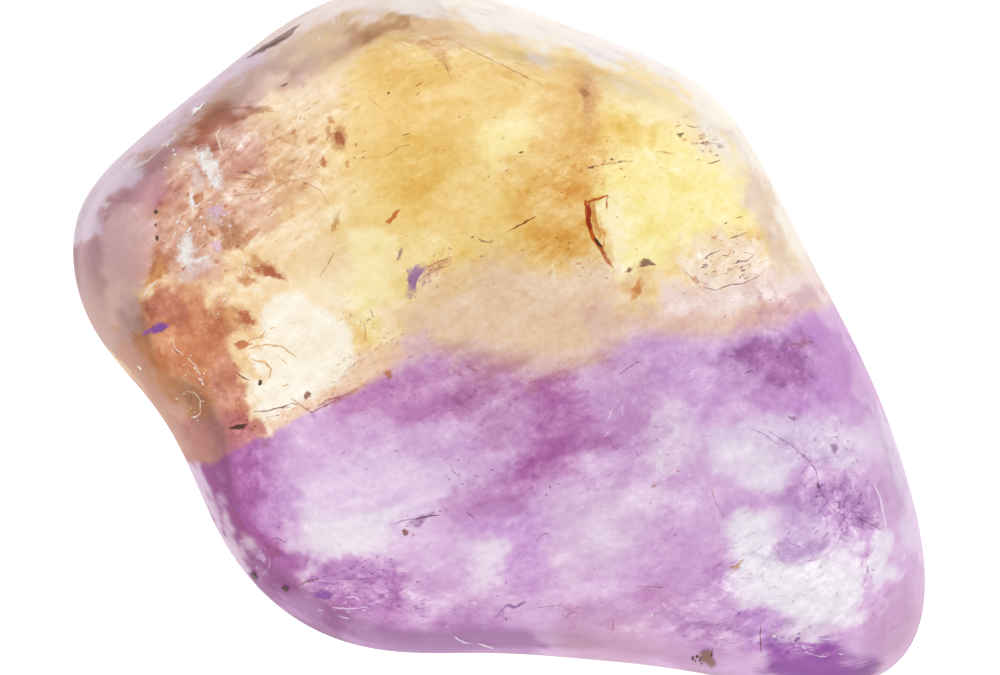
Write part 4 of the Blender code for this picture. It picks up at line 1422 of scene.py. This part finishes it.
# Strokes: tone, width, path.
STROKES = (
    # This stroke and the iron one after it draw the dark line under the bevel's ridge at the blunt
    # end: painted shade, in stain tones.
    ("amber", 0.12, (
        (-13.5, 7.4), (-12.8, 8.0), (-12.1, 8.45), (-11.3, 8.9), (-10.5, 9.1), (-9.7, 9.2),
    )),
    ("iron", 0.06, ((-13.3, 7.5), (-12.8, 7.95), (-12.2, 8.35))),
    ("blush", 0.09, ((-11.15, 8.5), (-11.35, 8.1), (-11.2, 7.7), (-11.1, 7.3))),
    # Painted glint along the bevel at the blunt end.
    ("milk", 0.14, ((-15.0, 6.7), (-14.2, 7.0), (-13.4, 7.7), (-12.9, 8.1))),
    ("pearl", 0.07, ((-14.3, 1.6), (-14.0, 2.0), (-13.7, 2.3))),
    ("black", 0.16, ((-13.72, 5.08), (-13.68, 4.92))),
    ("black", 0.13, ((-13.75, 4.56), (-13.71, 4.44))),
    ("black", 0.16, ((-13.65, 4.1), (-13.63, 3.9))),
    ("violet", 0.22, ((-14.3, 0.15), (-13.9, 0.3), (-13.5, 0.45), (-13.2, 0.5))),
    ("violet", 0.34, ((-13.95, 0.35), (-13.7, 0.45), (-13.4, 0.55))),
    ("grape", 0.12, ((-15.0, -0.3), (-14.5, 0.0), (-14.1, 0.25))),
    ("tan", 0.05, ((-12.6, 6.45), (-11.6, 6.5), (-11.1, 6.55))),
    ("tan", 0.06, (
        (-11.2, 5.6), (-10.0, 5.7), (-9.3, 5.8), (-8.4, 6.25), (-7.75, 6.35), (-7.2, 6.5),
    )),
    ("tan", 0.05, ((-7.8, 6.2), (-7.2, 5.9), (-6.8, 5.3))),
    ("tan", 0.05, ((-10.8, 6.35), (-10.0, 6.3), (-9.3, 6.2))),
    ("smear", 0.08, ((-10.9, 6.05), (-10.1, 6.0), (-9.6, 6.0))),
    ("plum", 0.10, ((-10.5, 6.55), (-10.2, 6.6), (-9.9, 6.5))),
    ("tan", 0.08, ((-7.2, 2.4), (-6.9, 2.9), (-6.6, 3.4))),
    ("smear", 0.06, ((-6.0, 7.1), (-5.3, 7.15), (-4.7, 7.2))),
    ("smear", 0.06, ((-7.0, 6.5), (-7.1, 6.1))),
    ("umber", 0.12, ((-10.1, 10.28), (-9.9, 10.36), (-9.8, 10.4))),
    ("umber", 0.10, ((-8.75, 10.0), (-8.55, 10.08), (-8.4, 10.15))),
    ("umber", 0.10, ((-4.5, 9.73), (-4.4, 9.77))),
    ("smear", 0.07, ((-5.4, 9.7), (-5.0, 9.4), (-4.7, 9.1))),
    ("umber", 0.06, ((-3.4, 10.0), (-3.1, 10.15))),
    ("umber", 0.06, ((-3.9, 8.05), (-3.6, 8.15))),
    ("tan", 0.06, ((-4.6, 7.2), (-4.0, 7.6), (-3.6, 7.7))),
    ("milk", 0.08, ((-9.0, 3.2), (-8.6, 3.45), (-8.2, 3.6))),
    ("milk", 0.08, ((-8.9, 2.7), (-8.4, 2.45), (-8.0, 2.1))),
    ("milk", 0.07, ((-10.0, 1.95), (-9.2, 1.7), (-8.6, 1.3))),
    ("milk", 0.06, ((-9.6, 3.6), (-9.3, 4.1), (-9.2, 4.6))),
    ("rust", 0.07, ((-3.1, 2.75), (-2.5, 3.0), (-1.9, 3.25))),
    ("rust", 0.05, ((-3.0, 2.45), (-2.5, 2.75), (-2.1, 2.85))),
    # the ridge
    ("smear", 0.12, (
        (-3.9, 12.2), (-2.9, 12.1), (-2.0, 11.85), (-0.9, 11.3), (0.4, 10.65), (1.8, 9.95),
    )),
    ("tan", 0.05, ((-1.9, 11.8), (-0.9, 11.3), (0.4, 10.68), (1.2, 10.25))),
    ("smear", 0.30, ((-6.1, 11.9), (-5.2, 12.1), (-4.2, 12.0), (-3.0, 11.8))),
    ("tan", 0.14, ((-5.6, 12.0), (-4.9, 12.3), (-4.1, 12.7), (-3.3, 13.0))),
    ("tan", 0.10, ((-4.7, 12.6), (-3.9, 12.9), (-3.2, 13.2))),
    ("smear", 0.20, ((-4.6, 11.9), (-3.4, 11.75), (-2.4, 11.6))),
    # the crack
    ("ember", 0.20, ((3.45, 5.45), (3.5, 4.9), (3.58, 4.3), (3.8, 3.85), (4.1, 3.4))),
    ("ember", 0.10, ((3.46, 5.42), (3.9, 5.52), (4.3, 5.68))),
    ("iron", 0.09, ((4.28, 5.68), (4.22, 5.4), (4.25, 5.1))),
    ("black", 0.13, ((3.75, 4.0), (3.95, 3.75), (4.05, 3.62))),
    ("gold", 0.12, ((4.0, 4.6), (4.16, 4.1), (4.08, 3.5), (4.25, 3.2), (4.52, 2.75))),
    ("iron", 0.10, ((4.05, 3.4), (4.2, 3.15), (4.4, 2.9))),
    ("tan", 0.08, ((3.45, 6.76), (3.9, 6.85), (4.4, 6.95), (5.3, 7.05))),
    ("umber", 0.10, ((3.5, 6.74), (3.75, 6.8))),
    ("black", 0.09, ((4.39, 7.1), (4.47, 7.12))),
    ("umber", 0.07, ((0.25, 4.2), (0.7, 4.45), (1.0, 4.6), (1.4, 4.85))),
    ("plum", 0.07, ((-0.9, 3.95), (-0.6, 3.85), (-0.35, 3.8))),
    ("plum", 0.09, ((-2.1, 3.6), (-1.9, 3.5))),
    ("umber", 0.09, ((0.75, 7.35), (0.95, 7.4))),
    ("iron", 0.09, ((2.2, 3.95), (2.3, 4.0))),
    # the corner at the right
    ("umber", 0.06, ((7.3, 8.75), (7.55, 8.9), (7.9, 8.95))),
    ("umber", 0.05, ((7.4, 8.45), (7.7, 8.35), (8.05, 8.4))),
    ("umber", 0.06, ((8.25, 6.93), (8.8, 7.05))),
    ("tan", 0.09, ((7.6, 7.7), (8.2, 7.75), (8.9, 7.7))),
    ("tan", 0.08, ((6.2, 7.4), (6.5, 7.4), (6.9, 7.3))),
    ("umber", 0.07, ((8.6, 9.0), (8.9, 9.1))),
    ("umber", 0.07, ((9.4, 4.75), (9.65, 4.85))),
    ("maroon", 0.05, ((9.1, 3.95), (9.5, 4.05), (9.8, 4.2))),
    ("maroon", 0.04, ((8.0, 3.05), (8.3, 3.3), (8.8, 3.5))),
    ("maroon", 0.05, ((8.1, 1.98), (8.6, 1.88), (9.2, 2.1), (9.7, 2.15), (10.4, 2.5))),
    ("maroon", 0.04, ((9.7, 3.4), (10.1, 3.3), (9.8, 3.05), (9.4, 3.0))),
    ("smear", 0.10, ((7.2, 2.7), (7.8, 2.3), (8.3, 2.1))),
    ("smear", 0.14, ((8.6, 2.4), (9.4, 2.8), (10.3, 3.0))),
    ("smear", 0.22, ((9.8, 6.6), (10.3, 5.9), (10.8, 5.0), (11.2, 4.2))),
    ("smear", 0.14, ((11.6, -0.3), (12.0, -0.25))),
    # the amber patch
    ("blush", 0.08, ((-13.1, 0.0), (-13.0, -0.45), (-12.65, -0.7))),
    ("blush", 0.10, ((-12.5, -0.8), (-12.2, -1.1), (-12.0, -1.45))),
    ("milk", 0.10, ((-11.95, -1.5), (-11.9, -1.9))),
    ("blush", 0.06, ((-12.6, -2.15), (-12.25, -2.2), (-12.0, -2.5), (-12.0, -2.95))),
    ("blush", 0.08, ((-12.35, -3.2), (-12.1, -3.15), (-11.95, -2.95))),
    ("umber", 0.08, ((-13.0, -0.35), (-12.8, -0.6))),
    ("black", 0.11, ((-13.02, -2.75), (-12.94, -2.82))),
    ("grape", 0.10, ((-12.0, -3.8), (-11.5, -3.6), (-11.0, -3.3))),
    ("grape", 0.16, ((-11.4, -4.9), (-11.3, -4.4), (-11.1, -4.0))),
    ("tan", 0.07, ((-9.85, -0.05), (-9.45, 0.05), (-9.36, 0.3))),
    ("gold", 0.07, ((-10.1, -0.45), (-9.3, -0.25), (-8.65, -0.35), (-8.1, -0.8))),
    ("gold", 0.10, ((-9.9, -0.85), (-9.35, -0.95), (-9.1, -1.2), (-9.2, -1.6))),
    ("gold", 0.07, ((-8.8, -0.8), (-8.45, -1.05))),
    ("gold", 0.07, ((-8.7, -1.95), (-8.4, -1.85))),
    ("umber", 0.07, ((-10.5, -1.4), (-10.2, -1.62), (-9.95, -1.68))),
    ("black", 0.17, ((-9.62, -1.75), (-9.48, -1.82))),
    ("umber", 0.06, ((-9.8, -2.95), (-9.2, -2.9), (-8.65, -2.76), (-8.3, -2.62), (-8.0, -2.66))),
    ("tan", 0.06, ((-9.3, -3.2), (-8.8, -3.08))),
    ("rust", 0.07, ((-8.3, -2.4), (-7.8, -2.8), (-7.5, -3.0), (-7.0, -2.7))),
    ("rust", 0.10, ((-7.3, -2.75), (-6.8, -2.45), (-6.3, -2.3))),
    ("smear", 0.08, ((-6.4, -1.8), (-5.9, -1.1), (-5.1, -0.6), (-4.2, 0.0))),
    ("smear", 0.06, ((-6.7, -2.1), (-6.2, -1.4), (-5.9, -0.9))),
    ("plum", 0.06, ((-5.45, 0.6), (-5.35, 0.2), (-5.4, -0.1))),
    ("plum", 0.06, ((-5.2, 1.2), (-5.05, 0.8))),
    ("pearl", 0.06, ((-7.58, -3.05), (-7.58, -3.35))),
    ("white", 0.07, ((-14.5, -1.15), (-14.35, -1.3))),
    # the violet side, at the left
    ("grape", 0.14, ((-11.8, -4.8), (-11.3, -5.6), (-10.8, -6.4), (-10.0, -7.3), (-9.55, -8.2))),
    ("violet", 0.07, ((-11.2, -5.8), (-10.7, -6.6), (-10.1, -7.4))),
    ("milk", 0.06, ((-8.8, -5.95), (-8.3, -5.75), (-7.9, -5.65))),
    ("milk", 0.06, ((-6.7, -5.75), (-6.2, -5.5), (-5.7, -5.45))),
    ("milk", 0.05, ((-8.2, -6.0), (-7.0, -5.9), (-6.0, -5.95))),
    ("plum", 0.07, ((-9.45, -8.25), (-8.9, -7.95), (-8.5, -8.15))),
    ("milk", 0.08, ((-9.5, -9.5), (-9.2, -9.2), (-9.25, -8.8))),
    ("umber", 0.09, ((-8.0, -9.85), (-7.7, -9.68), (-7.2, -9.6))),
    ("grape", 0.09, ((-7.2, -9.55), (-6.4, -9.4), (-5.6, -9.0), (-4.8, -8.6))),
    ("plum", 0.05, ((-6.6, -9.6), (-5.4, -9.6), (-4.8, -9.6))),
    ("pearl", 0.06, ((-6.7, -10.8), (-6.0, -10.85), (-5.3, -10.78))),
    ("pearl", 0.06, ((-6.2, -10.4), (-5.9, -10.35), (-5.6, -10.5))),
    ("pearl", 0.05, ((-6.5, -11.15), (-6.0, -11.25))),
    ("umber", 0.08, ((-7.2, -10.75), (-7.1, -10.85))),
    ("umber", 0.07, ((-5.45, -12.0), (-5.35, -12.1))),
    ("rust", 0.06, ((-11.5, -6.1), (-11.3, -6.35))),
    # its middle
    ("plum", 0.07, ((-4.25, -7.45), (-3.9, -7.28), (-3.2, -7.18), (-2.45, -7.05))),
    ("umber", 0.05, ((-3.4, -7.25), (-3.1, -7.15), (-2.4, -7.05))),
    ("tan", 0.10, ((-3.5, -7.9), (-3.4, -7.82))),
    ("rust", 0.09, ((-1.05, -1.3), (-0.9, -1.37))),
    ("smear", 0.30, ((-1.4, -1.0), (-1.0, -1.3))),
    ("plum", 0.07, ((4.7, -1.5), (5.1, -1.2), (5.5, -0.98))),
    ("umber", 0.06, ((5.4, -1.02), (5.55, -0.95))),
    ("milk", 0.08, ((5.5, 0.45), (5.3, 0.1), (5.1, -0.15))),
    ("pearl", 0.06, ((4.62, -2.65), (4.4, -3.05), (4.24, -3.5))),
    ("pearl", 0.05, ((4.9, -2.65), (4.9, -3.1))),
    ("pearl", 0.05, ((4.42, -3.72), (4.15, -3.98))),
    ("milk", 0.05, ((6.07, -2.4), (5.8, -2.9), (5.6, -3.4))),
    ("plum", 0.06, ((-1.98, -5.0), (-1.85, -5.4), (-1.6, -5.55))),
    ("plum", 0.05, ((-1.4, -5.7), (-1.15, -5.85))),
    ("plum", 0.05, ((-1.3, -4.9), (-1.2, -5.1))),
    ("plum", 0.05, ((-1.1, -5.45), (-0.85, -5.55))),
    ("umber", 0.08, ((1.98, -5.93), (2.03, -6.0))),
    ("umber", 0.07, ((1.82, -6.24), (1.87, -6.3))),
    ("umber", 0.06, ((2.31, -5.8), (2.36, -5.85))),
    ("plum", 0.08, ((-1.35, -6.95), (-1.0, -7.2))),
    ("plum", 0.06, ((1.45, -8.1), (1.7, -7.8), (1.95, -7.8))),
    ("umber", 0.08, ((-3.34, -9.7), (-3.26, -9.74))),
    ("plum", 0.06, ((0.2, -9.7), (0.3, -9.75))),
    ("plum", 0.08, ((3.74, -9.15), (3.84, -9.2))),
    ("umber", 0.07, ((6.97, -7.83), (7.03, -7.88))),
    ("plum", 0.13, ((-0.15, -11.1), (0.1, -10.8), (0.3, -10.6), (0.6, -10.75), (1.1, -10.5))),
    ("violet", 0.10, ((0.2, -10.7), (0.6, -10.75), (1.0, -10.55))),
    ("umber", 0.11, ((0.18, -11.12), (0.25, -11.22))),
    ("grape", 0.10, ((2.6, -11.05), (3.0, -10.9))),
    ("grape", 0.10, ((2.85, -11.3), (3.05, -11.5))),
    ("grape", 0.06, ((3.3, -10.55), (3.6, -10.45))),
    ("rust", 0.05, ((1.5, -10.75), (2.4, -10.65))),
    ("rust", 0.06, ((4.5, -12.15), (4.55, -11.2))),
    ("umber", 0.07, ((4.45, -12.1), (4.55, -12.05))),
    ("white", 0.09, ((6.03, -11.12), (6.12, -11.08))),
    ("pearl", 0.09, ((-1.85, -11.95), (-1.5, -12.2), (-1.1, -12.25))),
    ("pearl", 0.07, ((-0.9, -12.25), (-0.2, -12.45))),
    ("rust", 0.05, ((5.5, -9.9), (6.6, -9.95))),
    ("grape", 0.12, ((5.4, -4.5), (5.6, -4.75))),
    # the right
    ("plum", 0.07, ((9.7, -1.45), (10.1, -1.3))),
    ("plum", 0.045, ((10.0, -3.65), (10.5, -3.85), (11.1, -4.3))),
    ("plum", 0.05, ((10.7, -3.75), (11.6, -4.3), (12.2, -4.8), (12.6, -5.3))),
    ("grape", 0.14, ((11.8, -4.6), (12.3, -4.95), (12.6, -5.3))),
    ("plum", 0.05, ((12.6, -5.3), (12.7, -5.95), (12.9, -6.4), (13.3, -6.9), (14.0, -7.3))),
    ("umber", 0.07, ((12.65, -5.8), (12.72, -6.05))),
    ("plum", 0.12, ((14.1, -7.1), (14.65, -7.4), (15.2, -7.7))),
    ("plum", 0.07, ((14.3, -7.1), (14.9, -7.35))),
    ("plum", 0.07, ((14.2, -7.5), (14.6, -7.75))),
    ("plum", 0.09, ((14.8, -7.45), (15.1, -7.55))),
    ("pearl", 0.09, ((14.95, -5.8), (15.2, -6.4), (15.4, -7.3), (15.5, -8.0))),
    ("milk", 0.06, ((14.95, -8.1), (14.7, -8.75))),
    ("plum", 0.13, ((15.32, -6.05), (15.42, -6.65))),
    ("tan", 0.06, ((8.43, -6.0), (8.48, -6.3), (8.67, -6.7), (8.95, -7.2))),
    ("plum", 0.06, ((11.5, -8.15), (11.7, -8.3), (11.95, -8.35))),
    ("grape", 0.06, ((10.4, -9.05), (10.6, -8.95))),
    ("plum", 0.05, ((14.8, -9.3), (14.95, -9.25))),
    ("plum", 0.06, ((14.8, -9.5), (14.75, -9.7))),
    ("plum", 0.07, ((13.55, -5.95), (13.75, -5.75))),
    ("plum", 0.05, ((13.1, -3.98), (13.45, -4.0))),
    ("plum", 0.06, ((13.5, -3.2), (13.6, -3.5))),
    ("plum", 0.05, ((12.6, -4.9), (12.8, -4.95))),
    ("plum", 0.08, ((12.7, -12.05), (13.1, -12.1))),
    ("umber", 0.06, ((10.42, -11.5), (10.4, -12.0), (10.42, -12.5))),
    ("pearl", 0.06, ((11.8, -12.3), (12.2, -12.35), (12.5, -12.4))),
    ("pearl", 0.05, ((12.2, -12.6), (12.7, -12.75), (13.1, -12.75))),
    ("grape", 0.06, ((8.1, -10.35), (8.5, -10.35))),
    ("rust", 0.07, ((12.85, -8.05), (13.1, -7.8))),
    ("rust", 0.06, ((12.5, -7.9), (12.7, -7.7))),
)

# Specks: tone, how many, their middle, the spread along and across, the turn, size and length.
SPECKS = (
    ("white", 40, (-11.4, 4.9), (0.45, 0.45), 30, 0.06, 2.0),
    ("amber", 20, (-11.4, 4.8), (0.6, 0.6), 60, 0.08, 2.0),
    ("white", 16, (-12.4, 4.2), (0.5, 0.7), 60, 0.07, 2.5),
    ("white", 14, (-10.2, 3.2), (0.6, 0.5), -40, 0.05, 3.0),
    ("white", 12, (-11.0, 1.9), (0.8, 0.3), 20, 0.06, 3.0),
    ("white", 14, (-12.9, 7.2), (0.6, 0.35), 45, 0.05, 2.5),
    ("iron", 14, (-10.6, 4.1), (0.8, 0.7), 45, 0.07, 2.5),
    ("rust", 18, (-15.8, 3.0), (0.8, 0.9), 70, 0.09, 1.8),
    ("rust", 14, (-15.2, 0.8), (0.5, 0.7), 120, 0.09, 2.0),
    ("plum", 6, (-15.95, 2.85), (0.15, 0.15), 50, 0.16, 1.6),
    ("plum", 4, (-15.1, 3.65), (0.2, 0.04), -10, 0.08, 2.5),
    ("grape", 16, (-15.0, 6.0), (1.2, 0.3), 45, 0.06, 2.0),
    ("tan", 30, (-8.6, 6.8), (1.6, 1.1), 20, 0.06, 2.5),
    ("tan", 26, (-6.4, 7.6), (0.5, 0.9), 70, 0.06, 2.0),
    ("tan", 40, (-5.0, 9.0), (2.0, 1.6), 40, 0.05, 2.5),
    ("tan", 40, (-1.0, 8.0), (2.4, 2.0), 30, 0.045, 2.5),
    ("umber", 22, (-2.0, 7.0), (2.6, 2.6), 35, 0.035, 2.2),
    ("tan", 30, (2.4, 5.4), (1.4, 1.4), 20, 0.05, 1.8),
    ("amber", 26, (3.6, 3.0), (0.9, 0.4), 10, 0.06, 1.5),
    ("umber", 12, (4.3, 6.95), (0.6, 0.10), 10, 0.05, 1.5),
    ("gold", 14, (4.3, 6.5), (0.5, 0.4), 20, 0.06, 1.5),
    ("grape", 40, (-2.7, 2.7), (0.6, 0.25), 35, 0.07, 1.6),
    ("plum", 12, (-5.3, 0.6), (0.15, 0.5), 70, 0.05, 3.0),
    ("tan", 18, (-0.2, 2.4), (2.0, 0.9), 20, 0.05, 2.5),
    ("umber", 26, (8.2, 7.7), (0.6, 0.4), 0, 0.07, 2.2),
    ("amber", 18, (8.2, 7.9), (0.7, 0.3), 0, 0.07, 2.5),
    ("tan", 16, (7.6, 8.6), (0.7, 0.4), 20, 0.05, 2.5),
    ("maroon", 40, (9.0, 2.6), (0.9, 0.45), 12, 0.045, 3.0),
    ("maroon", 18, (9.2, 3.9), (0.6, 0.4), 25, 0.045, 3.0),
    ("plum", 16, (10.2, 2.9), (0.5, 0.3), 15, 0.06, 2.0),
    ("grape", 26, (10.6, 1.4), (1.2, 0.35), 20, 0.05, 3.0),
    ("tan", 22, (-5.0, 12.2), (1.2, 0.35), 15, 0.06, 3.5),
    ("tan", 20, (-2.4, 11.9), (0.9, 0.3), -15, 0.06, 3.0),
    ("milk", 14, (-6.4, 12.6), (0.8, 0.25), 25, 0.09, 2.5),
    ("grape", 12, (-1.5, 12.8), (1.2, 0.25), -5, 0.05, 4.0),
    ("smear", 26, (5.0, 10.6), (2.6, 0.5), -22, 0.05, 2.5),
    # the amber patch and the window beside it
    ("white", 16, (-12.2, -1.3), (0.6, 0.25), -60, 0.05, 2.2),
    ("white", 12, (-12.4, -2.7), (0.35, 0.35), 0, 0.04, 2.5),
    ("rust", 20, (-12.9, -1.4), (0.9, 0.8), -60, 0.05, 1.8),
    ("umber", 12, (-10.2, -3.6), (0.5, 0.12), 5, 0.05, 1.8),
    ("rust", 34, (-6.9, -2.6), (0.8, 0.14), 30, 0.06, 1.8),
    ("plum", 22, (-5.6, -0.9), (0.7, 0.4), 50, 0.045, 2.5),
    ("plum", 14, (-8.8, -2.9), (0.7, 0.12), 10, 0.04, 2.5),
    ("smear", 30, (-5.2, -0.6), (1.2, 0.4), 30, 0.06, 3.0),
    ("gold", 14, (-9.2, -0.6), (0.8, 0.5), 10, 0.05, 3.0),
    # the violet side
    ("grape", 26, (-6.0, -4.6), (2.0, 0.6), 15, 0.05, 3.0),
    ("grape", 30, (-9.0, -8.6), (0.8, 0.5), -50, 0.08, 1.8),
    ("plum", 16, (-8.4, -9.5), (0.8, 0.3), 10, 0.05, 2.2),
    ("grape", 60, (-6.0, -10.8), (1.6, 0.6), -5, 0.08, 2.2),
    ("milk", 30, (-6.0, -10.6), (1.2, 0.6), 0, 0.06, 3.0),
    ("violet", 20, (-5.0, -9.2), (0.6, 0.3), 10, 0.07, 1.6),
    ("milk", 20, (-9.8, -9.0), (0.3, 0.3), 0, 0.05, 2.0),
    ("plum", 10, (-3.2, -7.2), (0.6, 0.12), 12, 0.05, 2.0),
    ("grape", 36, (-2.0, -11.4), (2.0, 0.5), -5, 0.07, 2.4),
    ("milk", 16, (-2.0, -11.6), (1.6, 0.4), -5, 0.06, 2.5),
    ("grape", 24, (-0.6, -10.0), (1.4, 0.8), 20, 0.05, 2.0),
    ("plum", 12, (-1.5, -5.4), (0.4, 0.3), -30, 0.05, 2.5),
    ("plum", 16, (-1.2, -2.8), (0.8, 0.5), -10, 0.06, 2.2),
    ("grape", 24, (-4.2, -1.9), (1.4, 0.3), 25, 0.06, 2.5),
    ("plum", 10, (1.0, -1.0), (1.4, 0.3), 0, 0.04, 2.0),
    ("milk", 22, (5.0, -6.8), (1.6, 1.0), 20, 0.06, 2.5),
    ("rust", 20, (5.6, -6.4), (1.4, 0.8), 20, 0.05, 2.0),
    ("milk", 24, (6.6, -4.6), (0.4, 1.0), 0, 0.07, 2.0),
    ("grape", 20, (6.8, -4.4), (0.6, 0.9), -40, 0.05, 3.0),
    ("rust", 18, (4.8, -11.2), (1.6, 0.6), -5, 0.05, 2.5),
    ("grape", 14, (2.8, -11.1), (0.35, 0.35), 0, 0.06, 2.0),
    ("milk", 20, (7.0, -11.6), (1.4, 0.6), -10, 0.06, 2.0),
    ("plum", 20, (11.8, -4.6), (0.9, 0.12), -38, 0.05, 2.2),
    ("plum", 26, (13.3, -4.4), (0.5, 0.6), 0, 0.05, 2.0),
    ("plum", 20, (14.4, -7.2), (0.6, 0.16), -32, 0.06, 3.0),
    ("grape", 30, (13.8, -6.2), (0.7, 0.7), -40, 0.06, 2.0),
    ("milk", 16, (15.4, -7.4), (0.2, 0.8), 10, 0.05, 2.5),
    ("milk", 20, (14.9, -8.9), (0.4, 0.5), 60, 0.05, 2.0),
    ("tan", 26, (10.6, -9.6), (0.8, 0.5), -30, 0.04, 2.0),
    ("white", 24, (10.8, -9.4), (0.9, 0.9), -30, 0.06, 2.0),
    ("grape", 20, (13.8, -0.8), (0.4, 1.2), 15, 0.05, 2.5),
    ("grape", 30, (10.6, -0.6), (1.5, 0.3), 12, 0.06, 3.5),
    ("plum", 10, (11.0, -1.3), (1.2, 0.3), 12, 0.04, 3.0),
    ("rust", 20, (15.4, -11.6), (0.6, 0.4), 25, 0.05, 2.5),
    ("white", 18, (12.4, -12.5), (0.7, 0.14), -12, 0.04, 3.0),
    ("pit", 24, (8.3, -12.85), (0.2, 0.26), 60, 0.09, 1.6),
    ("tan", 12, (10.4, -12.6), (0.4, 0.4), 0, 0.06, 1.5),
    ("violet", 14, (11.4, -12.2), (0.5, 0.2), 20, 0.07, 2.0),
    ("grape", 16, (8.4, -10.5), (0.5, 0.4), 0, 0.05, 2.5),
)


def flaws():
    """The films, strokes and specks: the tinted ones, stained places and a line of painted shade,
    gathered into one piece; those on the face, bruised places and painted glints, into one.
    """
    stains_and_shade, bruises_and_glints = FilmSheet(2, 1.0), FilmSheet(1, LIGHT_ON_FACE)
    for number, (tone, rag, outline) in enumerate(FILMS):
        firm = FIRMNESS.get(tone, 1.0)
        lower = number % LAYERS * LAYER_STEP
        seed = FILM_SEEDS[0] + FILM_SEEDS[1] * number
        if tone in STAINS_AND_SHADE:
            stains_and_shade.film(STAINS_AND_SHADE[tone], rag, outline, FILM_DEPTH + lower, firm, seed)
        else:
            bruises_and_glints.film(BRUISES_AND_GLINTS[tone], rag, outline, -BRUISE_AND_GLINT_HEIGHT - lower, firm, seed)
    for number, (tone, width, path) in enumerate(STROKES):
        firm = FIRMNESS.get(tone, 1.0)
        layer = number % LAYERS
        seed = STROKE_SEEDS[0] + STROKE_SEEDS[1] * number
        if tone in STAINS_AND_SHADE:
            depth = STROKE_DEPTH - layer * LAYER_STEP
            stains_and_shade.stroke(STAINS_AND_SHADE[tone], width, path, depth, firm, seed)
        else:
            depth = -BRUISE_AND_GLINT_HEIGHT - (LAYERS + layer) * LAYER_STEP
            bruises_and_glints.stroke(BRUISES_AND_GLINTS[tone], width, path, depth, firm, seed)
    for number, (tone, *values) in enumerate(SPECKS):
        firm = max(FIRMNESS.get(tone, 1.0), 1.0)
        seed = SPECK_SEEDS[0] + SPECK_SEEDS[1] * number
        if tone in STAINS_AND_SHADE:
            stains_and_shade.specks(STAINS_AND_SHADE[tone], *values, SPECK_DEPTHS, firm, seed)
        else:
            heights = (-BRUISE_AND_GLINT_HEIGHT, -BRUISE_AND_GLINT_HEIGHT)
            bruises_and_glints.specks(BRUISES_AND_GLINTS[tone], *values, heights, firm, seed)
    stains_and_shade.finished("inner_stains_and_shade", stain_and_shade())
    bruises_and_glints.finished("pale_bruises_and_glints", bruise_and_glint())


# ---------------------------------------------------------------------------------------------
# Floor, light and camera
# ---------------------------------------------------------------------------------------------

FLOOR_HALF = 1.0  # metres
FLOOR_GAP = 0.00002  # metres between the floor and the flat that rests on it
FLOOR_GLOW = 1.05  # light that the floor gives of its own, as a light table does
SKY_STRENGTH = 1.15
DIM_PATCH = (40.0, 20.0)  # degrees from straight up where the dim patch begins and is full
DIM_STRENGTH = 0.1  # light from the dim patch
VIEW_WIDTH = 40.0  # of the picture at the waist
SENSOR = 36.0  # width of the film
FLOOR_GREY = 0.25


def studio():
    """A white floor under an even white sky, and a camera that looks straight down."""
    half = FLOOR_HALF
    corners = [(-half, -half), (half, -half), (half, half), (-half, half)]
    mesh = bpy.data.meshes.new("floor")
    mesh.from_pydata([(x, y, -FLOOR_GAP) for x, y in corners], [], [(0, 1, 2, 3)])
    finish = Finish("white_floor").set(
        Base_Color=(FLOOR_GREY, FLOOR_GREY, FLOOR_GREY, 1),
        Roughness=0.9,
        Emission_Color=(1, 1, 1, 1),
        Emission_Strength=FLOOR_GLOW,
    )
    mesh.materials.append(finish.made)
    floor = bpy.data.objects.new("floor", mesh)
    bpy.context.scene.collection.objects.link(floor)

    sky = Finish("white_sky", "worlds", "Background")
    way = sky.node("ShaderNodeTexCoord")
    upward = sky.node("ShaderNodeSeparateXYZ", None, {"Vector": way}, out=2)
    wide, narrow = (math.cos(math.radians(angle)) for angle in DIM_PATCH)
    strength = sky.node(
        "ShaderNodeMapRange",
        {"interpolation_type": "SMOOTHSTEP"},
        {"Value": upward, "From Min": wide, "From Max": narrow,
         "To Min": SKY_STRENGTH, "To Max": DIM_STRENGTH},
    )
    sky.set(Color=(1, 1, 1, 1), Strength=strength)
    bpy.context.scene.world = sky.made

    camera = bpy.data.cameras.new("camera")
    camera.sensor_width = SENSOR
    camera.lens = SENSOR * EYE_HEIGHT / VIEW_WIDTH
    viewer = bpy.data.objects.new("camera", camera)
    viewer.location = (0, 0, (WAIST + EYE_HEIGHT) * MM)
    bpy.context.scene.collection.objects.link(viewer)
    bpy.context.scene.camera = viewer
    bpy.context.scene.view_settings.view_transform = "Standard"


skin()
matt_rim_light()
flaws()
studio()
